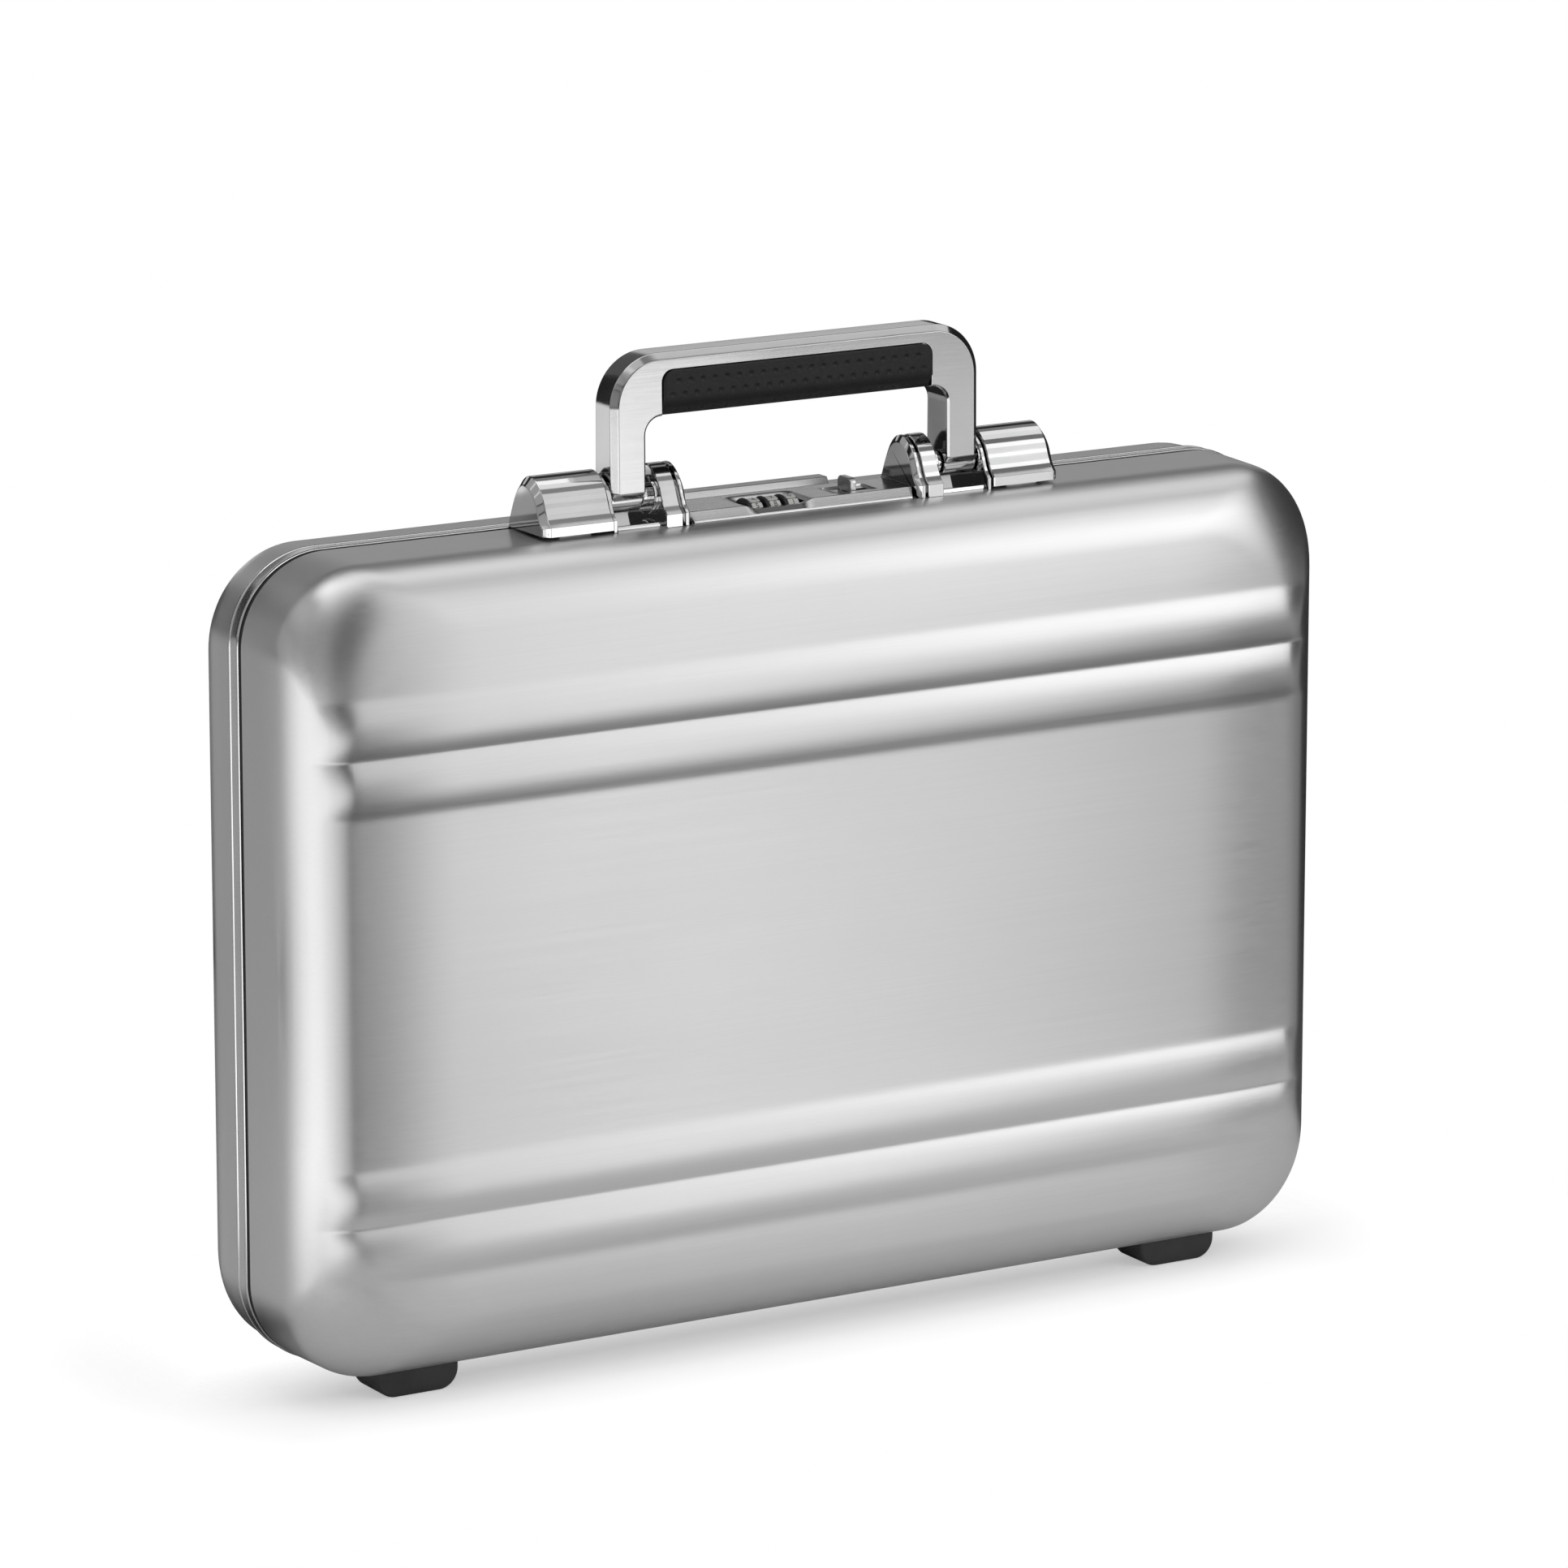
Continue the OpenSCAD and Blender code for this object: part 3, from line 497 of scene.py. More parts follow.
def across(xe):
    """The columns of points between two edge points at -xe and xe."""
    return [-(xe - o) for o in OFFS] + COLS + [xe - o for o in OFFS[::-1]]



def pan(D, i0, t0, t1, depths, rows, sgn, hole=None, ribs=(True, False)):
    """Open pan: outer and inner skin on one grid, walls round the mouth and round the hole."""
    layers, cells = [], None
    D -= CROWN
    depths = depths[:-1] + [min(depths[-1], D - EDGE)]
    for t, rb in ((t0, ribs[0]), (t1, ribs[1])):
        gs = [ring(t, D, i0, d, 0) for d in depths] + [ring(t, D, i0, D - EDGE, math.radians(a)) for a in np.linspace(4.5, END, 20)]
        verts, index = [], {}
        chains = []
        for k, g in enumerate(gs):
            if not rb:
                g = g[:4] + (0.0,)
            c = chain(g, rows)
            chains.append(c)
            n = len(c)
            xs = across(c[0][0])
            loop = [(-x, d, z) for x, d, z in c] + [(x, g[3], c[-1][2]) for x in xs] + c[::-1] + [(x, g[3], c[0][2]) for x in xs[::-1]]
            for j, p in enumerate(loop):
                index[k, j] = len(verts)
                verts.append(p)
        nc, K = len(xs), len(gs)
        m = 2 * n + 2 * nc
        # the face: rows of points between the two chains of the last ring
        last = chains[-1]
        face = {}
        for r in range(n):
            face[r, 0] = index[K - 1, r]
            face[r, nc + 1] = index[K - 1, n + nc + (n - 1 - r)]
            xe = last[r][0]
            for q, x in enumerate(across(xe)):
                if r == n - 1:
                    face[r, q + 1] = index[K - 1, n + q]
                elif r == 0:
                    face[r, q + 1] = index[K - 1, 2 * n + nc + (nc - 1 - q)]
                else:
                    face[r, q + 1] = len(verts)
                    z = last[r][2]
                    verts.append((x, last[r][1] + RISE * swell(x, z, gs[-1]), z))
        if cells is None:
            cells = []
            for k in range(K - 1):
                for j in range(m):
                    j2 = (j + 1) % m
                    if hole and n <= j < n + nc - 1:
                        xa, xb = xs[j - n], xs[j - n + 1]
                        da = gs[k][3], gs[k + 1][3]
                        if xa >= hole[0] - 0.01 and xb <= hole[1] + 0.01 and min(da) >= hole[2] - 0.01 and max(da) <= hole[3] + 0.01:
                            continue
                    cells.append((index[k, j], index[k, j2], index[k + 1, j2], index[k + 1, j]))
            for r in range(n - 1):
                for q in range(nc + 1):
                    cells.append((face[r, q], face[r, q + 1], face[r + 1, q + 1], face[r + 1, q]))
        layers.append(verts)
    N = len(layers[0])
    faces = [c for c in cells] + [tuple(N + i for i in reversed(c)) for c in cells]
    used = {}
    for c in cells:
        for a, b in zip(c, c[1:] + c[:1]):
            used[frozenset((a, b))] = None if frozenset((a, b)) in used else (a, b)
    faces += [(b, a, a + N, b + N) for e, ab in used.items() if ab for a, b in (ab,)]
    verts = [(x, sgn * d, z) for L in layers for x, d, z in L]
    keep = sorted({i for f in faces for i in f})
    at = {i: k for k, i in enumerate(keep)}
    return [verts[i] for i in keep], [tuple(at[i] for i in f) for f in faces]


v, f = pan(BASE_D, 0, 0, WALL, [1.4, 1.9, 3.5, 7.55, 12, 18, 24.1, 28.3], ROWS, -1, hole=(-24.4, 44.4, 7.5, 24.2))
make("shell_front", v, f, "base", M_SHELL, "shell_aluminium", ["base_shell"], even=False)
v, f = pan(LID_D, 0.35, 0, WALL, [9.5, 10.2, 13, 18, 23], ROWS, 1)
make("shell_back", v, f, "lid", M_SHELL, "shell_aluminium", ["lid_shell"], even=False)
LROWS = [FOOT_H + 42, FOOT_H + 80, FOOT_H + 110, FOOT_H + 145, FOOT_H + 178, FOOT_H + 220, FOOT_H + 250, ZT - 42]
v, f = pan(BASE_D, 0, WALL + 0.6, WALL + 1.8, [8.2, 11, 14, 18, 25, 28.4], LROWS, -1, hole=(-24.5, 44.5, 8.0, 25.1), ribs=(False, False))
make("lining_front", v, f, "base", M_LINING, "lining_fabric", ["base_lining"], even=False)
v, f = pan(LID_D, 0.35, WALL + 0.6, WALL + 1.8, [13.6, 16, 19, 23], LROWS, 1, ribs=(False, False))
make("lining_back", v, f, "lid", M_LINING, "lining_fabric", ["lid_lining"], even=False)


# ------------------------------------------------------------------ frames that run round the case
def outline(n, seg=26, r=None):
    """Rounded outline of the case inset by n, as (x, z), counter-clockwise seen from the front."""
    r = CORNER - n if r is None else r
    w, b, t = HW - n, FOOT_H + n, ZT - n
    pts = arc(w - r, b + r, r, -90, 0, seg) + arc(w - r, t - r, r, 0, 90, seg)
    pts += arc(-w + r, t - r, r, 90, 180, seg) + arc(-w + r, b + r, r, 180, 270, seg)
    return pts


def sweep(profile, seg=26):
    """Rings for a loft: for each (inset, y) of a closed profile the outline at that inset."""
    return [[(x, y, z) for x, z in outline(n, seg)] for n, y in profile]


bead1 = [(0.35, 0.8), (-0.05, 0.83)] + [(0.0 - 0.4 * math.sin(math.radians(a)), 1.8 - 0.95 * math.cos(math.radians(a))) for a in range(15, 180, 15)] + [(0.0, 2.78), (0.1, 2.95)]
bead2 = [(0.1, 7.3), (0.06, 7.42)] + [(0.1 - 0.4 * math.sin(math.radians(a)), 8.25 - 0.8 * math.cos(math.radians(a))) for a in range(15, 180, 15)] + [(0.14, 9.12), (0.6, 9.2)]
rim = Build()
rim.loft(sweep(bead1 + bead2 + [(7.8, 9.2), (8.0, 9.0), (8.0, 1.0), (7.8, 0.8)]), close=True)
rim.loft(sweep([(4.5, -3.3), (4.8, -3.6), (6.3, -3.6), (6.6, -3.3), (6.6, 1.2), (4.5, 1.2)]), close=True)
rim.loft(sweep([(2.8, 9.1), (2.8, 13.2), (4.8, 13.2), (4.8, 9.1)]), close=True)
rim.out("rim", "lid", M_RIM, "rim_aluminium", ["lid_frame"])
inner = Build()
inner.loft(sweep([(1.85, -2.75), (2.0, -2.6), (3.85, -2.6), (4.0, -2.75), (4.0, -5.4), (7.8, -5.4), (8.0, -5.6), (8.0, -7.3), (7.8, -7.5), (1.85, -7.5)]), close=True)
inner.out("frame_front", "base", M_RIM, "rim_aluminium", ["base_frame"])
gas = Build()
gas.loft(sweep([(4.3, -5.4), (4.3, -4.4), (4.7, -3.95), (5.6, -3.9), (6.0, -4.3), (6.4, -3.9), (7.2, -3.95), (7.65, -4.4), (7.65, -5.4)]), close=True)
# a black rubber band that fills the gap between the lid's rim and the base's frame: painted shade, a dark sheet where
# the gap is only in shadow
gas.loft(sweep([(1.75, -2.7), (1.75, -1.36), (0.5, -1.33), (0.3, -1.1), (0.3, 0.45), (0.5, 0.65), (3.7, 0.68), (3.95, 0.5), (3.95, -2.7)]), close=True)
gas.out("gasket_strip", "base", M_GASKET, "gasket_rubber", ["gasket"])


# a sewn edge round each lining
def piping(y, n, body, name, r=1.0):
    b = Build()
    prof = [(n + r * math.cos(math.radians(a)), y + r * math.sin(math.radians(a))) for a in range(0, 360, 45)]
    b.loft([[(x, yy, z) for x, z in outline(nn, 20, r=CORNER - nn + 0.6)] for nn, yy in prof], close=True)
    return b.out(name, body, M_PIPING, "lining_fabric")


piping(-8.75, 4.3, "base", "lining_edge_front", 0.75)
piping(14.4, 4.7, "lid", "lining_edge_back")


# ------------------------------------------------------------------ feet
def foot(b, cx, y0, y1):
    top, h, r = FOOT_H + 0.75, FOOT_L / 2, 8.0

    def out2(o):
        pts = [(-h + o, top)] + [(-h + r + (r - o) * math.cos(math.radians(a)), r + (r - o) * math.sin(math.radians(a))) for a in range(180, 271, 9)]
        pts += [(h - r + (r - o) * math.cos(math.radians(a)), r + (r - o) * math.sin(math.radians(a))) for a in range(270, 361, 9)] + [(h - o, top)]
        return pts

    st = [(y0, 1.1), (y0 + 0.12, 0.7), (y0 + 0.4, 0.32), (y0 + 0.8, 0.08), (y0 + 1.3, 0)]
    st += [(y1 - 1.3, 0), (y1 - 0.8, 0.08), (y1 - 0.4, 0.32), (y1 - 0.12, 0.7), (y1, 1.1)]
    b.loft([[(cx + x, y, z) for x, z in out2(o)] for y, o in st])


for name, body, node, y0, y1 in (("feet_front", "base", "base_feet", -29, -9), ("feet_back", "lid", "lid_feet", 10, 26)):
    b = Build()
    foot(b, -FOOT_X, y0, y1)
    foot(b, FOOT_X, y0, y1)
    b.out(name, body, M_FOOT, "foot_rubber", [node], sharp=40)


# ------------------------------------------------------------------ brackets, lug caps and latch covers
DOME = [(-27.75, 4.4), (-26.9, 5.3), (-25.5, 6.8), (-24.2, 9.0), (-23.2, 11.4), (-22.3, 13.8), (-21.1, 15.9), (-19.6, 17.8), (-17.7, 19.5),
        (-15.6, 20.8), (-13.4, 21.6), (-11.2, 21.7), (-9.2, 21.2), (-7.2, 20.0), (-5.3, 18.2), (-3.6, 15.9), (-2.1, 13.2), (-0.7, 10.2), (0.5, 7.4), (1.6, 4.8), (2.4, 2.6), (2.8, 0.8)]
DOME_UP = bspline(DOME, 4)


def dome(x, s=0.0, low=None, foot_z=0.75):
    """Side outline at x, shrunk by s, as a ring of (x, y, z). low: points that close it below, from the back to the front."""
    k = 1 - s / 14
    up = [(-12.6 + (y + 12.6) * k, 0.8 + (h - 0.8) * k) for y, h in DOME_UP]
    fy = -12.6 + (-28.05 + 12.6) * k
    fz = 0.8 + (4.35 - 0.8) * k
    front = [(fy, foot_z), (fy, (foot_z + fz) / 2), (fy, fz)]
    pts = front + up + [(-12.6 + (y + 12.6) * k if i == 0 else y, h) for i, (y, h) in enumerate(low)]
    return [(x, y, ZT + h) for y, h in pts]


LOW_FIXED = [(2.8, 0.62), (-0.9, 0.6), (-1.2, -0.05), (-14, -0.2), (-27.2, -0.42)]
LOW_COVER = [(2.8, 0.78), (-0.5, 0.78), (-1.2, 0.5), (-14, 0.45), (-27.3, 0.45)]


def dome_run(b, stations, low, foot_z):
    b.loft([dome(x, s, low, foot_z) for x, s in stations])


def rounded(x0, x1, s0=0.0, s1=0.0, r=0.35):
    """Stations of a dome run from x0 to x1 with a small round at both ends."""
    up = [(x0, s0 + r * 1.6), (x0 + r * 0.3, s0 + r * 0.75), (x0 + r, s0)]
    return up + [(x1 - r, s1), (x1 - r * 0.3, s1 + r * 0.75), (x1, s1 + r * 1.6)]


for side, s in (("left", -1), ("right", 1)):
    b = Build()
    dome_run(b, [(53.3, 2.5), (54.35, 2.5), (54.36, 0.55), (54.5, 0.2), (54.75, 0.0), (61.1, 0.0), (61.35, 0.18), (61.5, 0.6)], LOW_FIXED, -0.42)
    dome_run(b, rounded(82.1, 83.8, 1.2, 1.2, 0.3), LOW_FIXED, -0.42)
    plate = [(-25.2, -0.42), (-25.15, 0.7), (-24.9, 1.2), (-24.3, 1.4), (-3.0, 1.4), (-2.5, 1.2), (-2.2, 0.7), (-2.1, 0.0)]
    b.loft([[(x, y, ZT + h) for y, h in plate] for x in (61.4, 82.2)])
    # collars round the pin, against the lug and the ear
    for x0, x1, r in ((61.45, 63.2, 7.6), (63.1, 66.3, 4.6), (81.55, 82.15, 7.2)):
        rings_ = []
        for x, rr in ((x0, r - 0.1), (x0 + 0.3, r), (x1 - 0.5, r), (x1 - 0.15, r - 0.15), (x1, r - 0.5)) if x1 - x0 > 1 else ((x0, r), (x1 - 0.15, r), (x1, r - 0.3)):
            rings_.append([(x, PIN_Y + rr * math.cos(math.radians(a)), PIN_Z + rr * math.sin(math.radians(a))) for a in range(0, 360, 9)])
        b.loft(rings_)
    if s < 0:
        b.mirror_x()
    b.out("bracket_" + side, "base", M_CHROME, "chrome", ["handle_bracket_" + side])
    b = Build()
    dome_run(b, [(50.2, 2.0), (50.28, 1.72), (50.45, 1.5), (51.55, 0.14), (51.75, 0.03), (52.0, 0.0), (52.9, 0.0), (53.1, 0.14), (53.2, 0.5)], LOW_FIXED, -0.42)
    if s < 0:
        b.mirror_x()
    b.out("lug_face_" + side, "base", M_CHROME, "chrome", ["lug_cap_" + side])

    # the flip cover, hollow from below
    b = Build()
    st = [(84.2, 0.55), (84.3, 0.2), (84.55, 0.0), (91.7, 0.0), (106.3, 0.0), (111.25, 0.0), (111.5, 0.08), (111.75, 0.3), (113.7, 1.95), (113.9, 2.2), (114.0, 2.55)]
    outer = [dome(x, q, LOW_COVER, 0.85) for x, q in st]
    nf = len(outer[0])
    # inner skin: same outline pulled in, shorter at both ends, with room for the fixed knuckle behind the foot
    ins = [(85.9, 2.3, 0), (86.1, 2.2, 0), (91.7, 2.2, 0), (91.72, 2.2, 1), (106.28, 2.2, 1), (106.3, 2.2, 0), (110.2, 2.2, 0), (110.4, 2.3, 0)]
    nup = 3 + len(DOME_UP)
    inner_r = []
    for x, q, thin in ins:
        k = 1 - q / 14
        ring_ = dome(x, q, LOW_COVER, 0.85)
        if thin:
            ring_ = [(x, -27.3, z) for _, _, z in ring_[:3]] + ring_[3:]
        ring_ = ring_[:nup] + [(x, -12.6 + (2.8 + 12.6) * k, ZT + 0.78), (x, -0.9, ZT + 0.78), (x, -1.5, ZT + 0.5), (x, -14, ZT + 0.45), (x, -25, ZT + 0.45)]
        inner_r.append(ring_)
    verts = [p for r_ in outer for p in r_] + [p for r_ in inner_r for p in r_]
    O = len(outer) * nf
    faces = []
    for k in range(len(outer) - 1):
        for j in range(nup - 1):
            faces.append((k * nf + j, k * nf + j + 1, (k + 1) * nf + j + 1, (k + 1) * nf + j))
    for k in range(len(inner_r) - 1):
        for j in range(nup - 1):
            faces.append((O + k * nf + j, O + (k + 1) * nf + j, O + (k + 1) * nf + j + 1, O + k * nf + j + 1))
    # end caps of both skins
    for base_, idx_, flip in ((0, 0, True), (0, len(outer) - 1, False), (O, 0, False), (O, len(inner_r) - 1, True)):
        loop_ = [base_ + idx_ * nf + j for j in range(nup)]
        faces.append(tuple(loop_[::-1] if flip else loop_))

    def strip(a, c):
        """Faces between two open runs of vertices of different lengths."""
        i = j = 0
        while i < len(a) - 1 or j < len(c) - 1:
            xa = verts[a[i + 1]][0] if i < len(a) - 1 else 1e9
            xc = verts[c[j + 1]][0] if j < len(c) - 1 else 1e9
            if xa <= xc:
                faces.append((a[i], a[i + 1], c[j]))
                i += 1
            else:
                faces.append((a[i], c[j + 1], c[j]))
                j += 1

    strip([k * nf + nup - 1 for k in range(len(outer))], [O + k * nf + nup - 1 for k in range(len(inner_r))])
    strip([k * nf for k in range(len(outer))], [O + k * nf for k in range(len(inner_r))])
    # closing strips at both ends between the caps' straight lower edges
    faces.append((0, nup - 1, O + nup - 1, O))
    e_o, e_i = (len(outer) - 1) * nf, O + (len(inner_r) - 1) * nf
    faces.append((e_o + nup - 1, e_o, e_i, e_i + nup - 1))
    keep = sorted({i for f_ in faces for i in f_})
    at = {i: k for k, i in enumerate(keep)}
    b.add([verts[i] for i in keep], [tuple(at[i] for i in f_) for f_ in faces])
    # two knuckles round the pin, inside the foot
    for x0, x1 in ((84.6, 91.6), (106.4, 111.0)):
        b.loft([[(x, LATCH_Y + rr * math.cos(math.radians(a)), LATCH_Z + rr * math.sin(math.radians(a))) for a in range(0, 360, 15)] for x, rr in ((x0, 1.5), (x0 + 0.2, 1.7), (x1 - 0.2, 1.7), (x1, 1.5))])
    if s < 0:
        b.mirror_x()
    b.out("latch_" + side, "latch_" + side, M_CHROME, "chrome", ["latch_cover_" + side])

    # fixed sleeve round the pin, held by a lip of the plate under the cover
    b = Build()
    b.loft([[(x, LATCH_Y + rr * math.cos(math.radians(a)), LATCH_Z + rr * math.sin(math.radians(a))) for a in range(0, 360, 20)] for x, rr in ((91.95, 0.8), (92.1, 0.95), (105.9, 0.95), (106.05, 0.8))])
    web = [(-24.1, -0.4), (-24.1, 0.0), (-25.5, 1.65), (-25.5, 2.35), (-24.9, 2.5), (-23.6, 1.2), (-23.0, 1.0), (-6.5, 1.0), (-6.1, 0.7), (-6.1, 0.02)]
    b.loft([[(x, y, ZT + h) for y, h in web] for x in (92.3, 105.7)])
    if s < 0:
        b.mirror_x()
    b.out("latch_hinge_" + side, "base", M_STEEL, "steel", ["latch_mount_" + side])


# ------------------------------------------------------------------ handle
H_TOP, H_BOT, BAR_Z = ZT + 65.0, ZT + 13.0, ZT + 41.0
GRIP_Z1, H_IN, H_HW, D0, D1 = H_TOP - 6.6, 66.8, 81.2, -22.2, -5.8


def bail_outline():
    """Closed outline, counter-clockwise in (x, z), with the bevel class of each edge: o outer, i inner, n grip notch, b foot."""
    pts, cls = [], []

    def run(ps, c):
        for p_ in ps:
            pts.append(p_)
            cls.append(c)

    # right leg, outer side up, over the top, and down the left leg
    run([(H_HW, H_BOT)], "o")
    run(arc(H_HW - 20, H_TOP - 20, 20, 0, 90, 20), "o")
    run(arc(-H_HW + 20, H_TOP - 20, 20, 90, 180, 20), "o")
    run([(-H_HW, H_BOT)], "b")
    run([(-H_IN, H_BOT)], "i")
    run(arc(-H_IN + 7, BAR_Z - 7, 7, 180, 90, 9)[:-1], "i")
    run([(-59.6, BAR_Z)], "n")
    run(arc(-59.6 + 4.5, GRIP_Z1 - 4.5, 4.5, 180, 90, 7), "n")
    run(arc(59.6 - 4.5, GRIP_Z1 - 4.5, 4.5, 90, 0, 7), "n")
    run([(59.6, BAR_Z)], "i")
    run(arc(H_IN - 7, BAR_Z - 7, 7, 90, 0, 9)[1:], "i")
    run([(H_IN, H_BOT)], "b")
    return pts, cls


pts, cls = bail_outline()


def bail_ring(y, o, i, n, bt):
    offs = [{"o": o, "i": i, "n": n, "b": bt}[c] for c in cls]
    ring_ = offset(pts, offs)
    taper = []
    for x, z in ring_:
        k = 1 - 0.07 * max(0.0, min(1.0, (z - 338) / 50))
        taper.append((x, PIN_Y + (y - PIN_Y) * k, z))
    return taper


half = [(0.0, 2.75, 1.15, 0.45, 0), (0.08, 2.55, 0.95, 0.25, 0), (0.28, 2.32, 0.72, 0.08, 0), (0.72, 1.88, 0.28, 0.0, 0), (0.95, 1.65, 0.08, 0, 0), (1.2, 1.4, 0, 0, 0),
        (2.3, 0.30, 0, 0, 0), (2.52, 0.1, 0, 0, 0), (2.8, 0.0, 0, 0, 0)]
layers = [(D0 + a, *q) for a, *q in half] + [(D1 - a, *q) for a, *q in half[::-1]]
b = Build()
b.loft([bail_ring(*L) for L in layers])
# core under the grip
b.loft([[(x, y, z) for x, z in ((-60, BAR_Z + 2.4), (60, BAR_Z + 2.4), (60, GRIP_Z1 + 1), (-60, GRIP_Z1 + 1))] for y in (D0 + 2.2, D1 - 2.2)])
# lower end of each leg: bevelled under-face and barrel
for s in (-1, 1):
    e = Build()
    x0, x1 = H_IN, H_HW - 0.05
    prof = [(D0 + 0.02, H_BOT + 0.1), (D0 + 0.3, H_BOT - 0.45), (D0 + 2.1, H_BOT - 2.5), (D0 + 2.5, H_BOT - 2.75), (PIN_Y - 5.6, H_BOT - 3.2), (PIN_Y - 4.6, PIN_Z + 0.4), (PIN_Y, PIN_Z - 1),
            (PIN_Y + 4.6, PIN_Z + 0.4), (PIN_Y + 5.6, H_BOT - 3.2), (D1 - 2.5, H_BOT - 2.75), (D1 - 2.1, H_BOT - 2.5), (D1 - 0.3, H_BOT - 0.45), (D1 - 0.02, H_BOT + 0.1)]
    cy, cz = PIN_Y, H_BOT
    rr = []
    for x, q in ((x0, 0.9), (x0 + 0.25, 0.35), (x0 + 0.8, 0.0), (x1 - 1.6, 0.0), (x1 - 0.6, 0.5), (x1, 1.3)):
        k = 1 - q / 9
        rr.append([(x, cy + (y - cy) * k, z if z > H_BOT else z + q * 0.55) for y, z in prof])
    e.loft(rr)
    e.loft([[(x, PIN_Y + r_ * math.cos(math.radians(a)), PIN_Z + r_ * math.sin(math.radians(a))) for a in range(0, 360, 8)] for x, r_ in ((x0 + 0.05, 5.0), (x0 + 0.2, 5.4), (x0 + 0.6, 5.6), (x1 - 0.8, 5.6), (x1 - 0.3, 5.4), (x1 - 0.1, 5.0))])
    if s < 0:
        e.mirror_x()
    b.add(e.v, e.f)
# the bow wears the darkened chrome, painted shade
b.out("handle_bow", "handle", M_BOW, "chrome", ["handle_bail"], sharp=25)

# grip: D-shaped section that rolls under, dimples pressed into its front, back and lower face
GX, GZ0 = 59.4, BAR_Z - 0.28
side_ = [(8.62, GRIP_Z1 - 0.15), (8.7, GRIP_Z1 - 0.6)]
NV = 36


def grip_section(top, low_in):
    """Half section (distance from the middle, z) from the top edge down and under."""
    zs = []
    straight = 9.6
    for i in range(NV + 1):
        zs.append((8.7, top - (top - (GZ0 + 8.6)) * i / NV))
    roll = [(8.7 - 5.4 * (1 - math.cos(math.radians(a))) , GZ0 + 8.6 - 8.6 * math.sin(math.radians(a))) for a in np.linspace(0, 90, 25)[1:]]
    return zs, roll


def dimple(x, arc_len):
    """Depth of the pressed dots at (x, distance down the face), mm."""
    dep = 0.0
    for row, (at, shift, rad, deep) in enumerate(((4.2, 0.0, 0.6, 0.62), (9.3, 2.65, 0.6, 0.62), (15.4, 0.0, 0.52, 0.5))):
        dv = arc_len - at
        if abs(dv) > 2:
            continue
        u = (x - shift + 2.65) % 5.3 - 2.65
        if abs(x) > 56.5:
            continue
        dep += deep * math.exp(-((u * u + dv * dv) / (rad * rad)))
    return dep


xs = []
step = 0.53
nx = int(round(2 * (GX - 5) / step))
for i in range(nx + 1):
    xs.append(-(GX - 5) + 2 * (GX - 5) * i / nx)
ends = [0.0, 0.12, 0.35, 0.7, 1.2, 1.8, 2.6, 3.4, 4.2]
xs = [-GX + e_ for e_ in ends] + xs + [GX - e_ for e_ in ends[::-1]]
rows_ = []
for x in xs:
    dx = GX - abs(x)
    r_ = 4.5
    top = GRIP_Z1 - 0.12 - (r_ - math.sqrt(max(r_ * r_ - (r_ - dx) ** 2, 0)) if dx < r_ else 0)
    shrink = 0.5 * (1 - math.sqrt(max(1 - (1 - min(dx, 0.9) / 0.9) ** 2, 0)))
    zs, roll = grip_section(top, 0)
    pts_ = []
    run_len = 0.0
    last_p = None
    for i, (h_, z) in enumerate([(8.35, top + 0.02), (8.6, top - 0.12)] + zs[1:] + roll):
        if last_p is not None:
            run_len += math.hypot(h_ - last_p[0], z - last_p[1])
        last_p = (h_, z)
        arc_len = (GRIP_Z1 - z) if i < len(zs) + 1 else (GRIP_Z1 - GZ0 - 8.6) + 0
        if i >= len(zs) + 1:
            k_ = i - len(zs) - 1
            arc_len = (GRIP_Z1 - GZ0 - 8.6) + 11.1 * (k_ + 1) / 24
            nx_, nz_ = math.cos(math.radians(90 * (k_ + 1) / 24)), math.sin(math.radians(90 * (k_ + 1) / 24))
        else:
            nx_, nz_ = 1.0, 0.0
        dd = dimple(x, arc_len) + shrink
        pts_.append((h_ - dd * nx_, z + dd * nz_))
    ring_ = [(x, PIN_Y - h_, z) for h_, z in pts_] + [(x, PIN_Y + h_, z) for h_, z in pts_[::-1]]
    rows_.append(ring_)
b = Build()
b.loft(rows_)
b.out("grip", "handle", M_GRIP, "grip_leather", ["handle_grip"], sharp=50)


# ------------------------------------------------------------------ lock plate, as a height grid with openings
def grid_lines(a, b_, keys, step_):
    vals = {round(a, 4), round(b_, 4)} | {round(k, 4) for k in keys if a <= k <= b_}
    vals = sorted(vals)
    out = []
    for p_, q_ in zip(vals, vals[1:]):
        n_ = max(1, int(round((q_ - p_) / step_)))
        out += [p_ + (q_ - p_) * i / n_ for i in range(n_)]
    return out + [vals[-1]]


LP, TOPZ = 49.6, ZT + 3.5
hx0, hx1, hy0, hy1 = DIAL_C - 12.4, DIAL_C + 12.3, DIAL_Y - 6.2, DIAL_Y + 6.2
sx0, sx1, sy0, sy1 = SLIDE_X - 1.7, SLIDE_X + TRAVEL + 1.7, -15.7, -12.3
rx0, rx1, ry0, ry1 = SLIDE_X - 5.4, SLIDE_X + TRAVEL + 3.2, DIAL_Y - 4.4, DIAL_Y + 7.6


def depth(x, y):
    # dished well round the dials
    u = (x - DIAL_C) / 15.2
    c = max(0.0, 1 - abs(u) ** 2.2)
    e_ = smoothstep(-4.6, -8.6, y) if False else smoothstep(0, 1, (-4.8 - y) / 3.6)
    d_ = 1.75 * min(1.0, c * 1.6) * e_
    # recess of the slide: ramp on the left, steps elsewhere
    l = smoothstep(0, 1, (x - (rx0 - 4.5)) / 4.5)
    r = smoothstep(0, 1, (rx1 - x) / 0.25)
    f_ = smoothstep(0, 1, (y - ry0) / 0.25) * smoothstep(0, 1, (ry1 - y) / 0.25)
    return max(d_, 0.78 * l * r * f_)


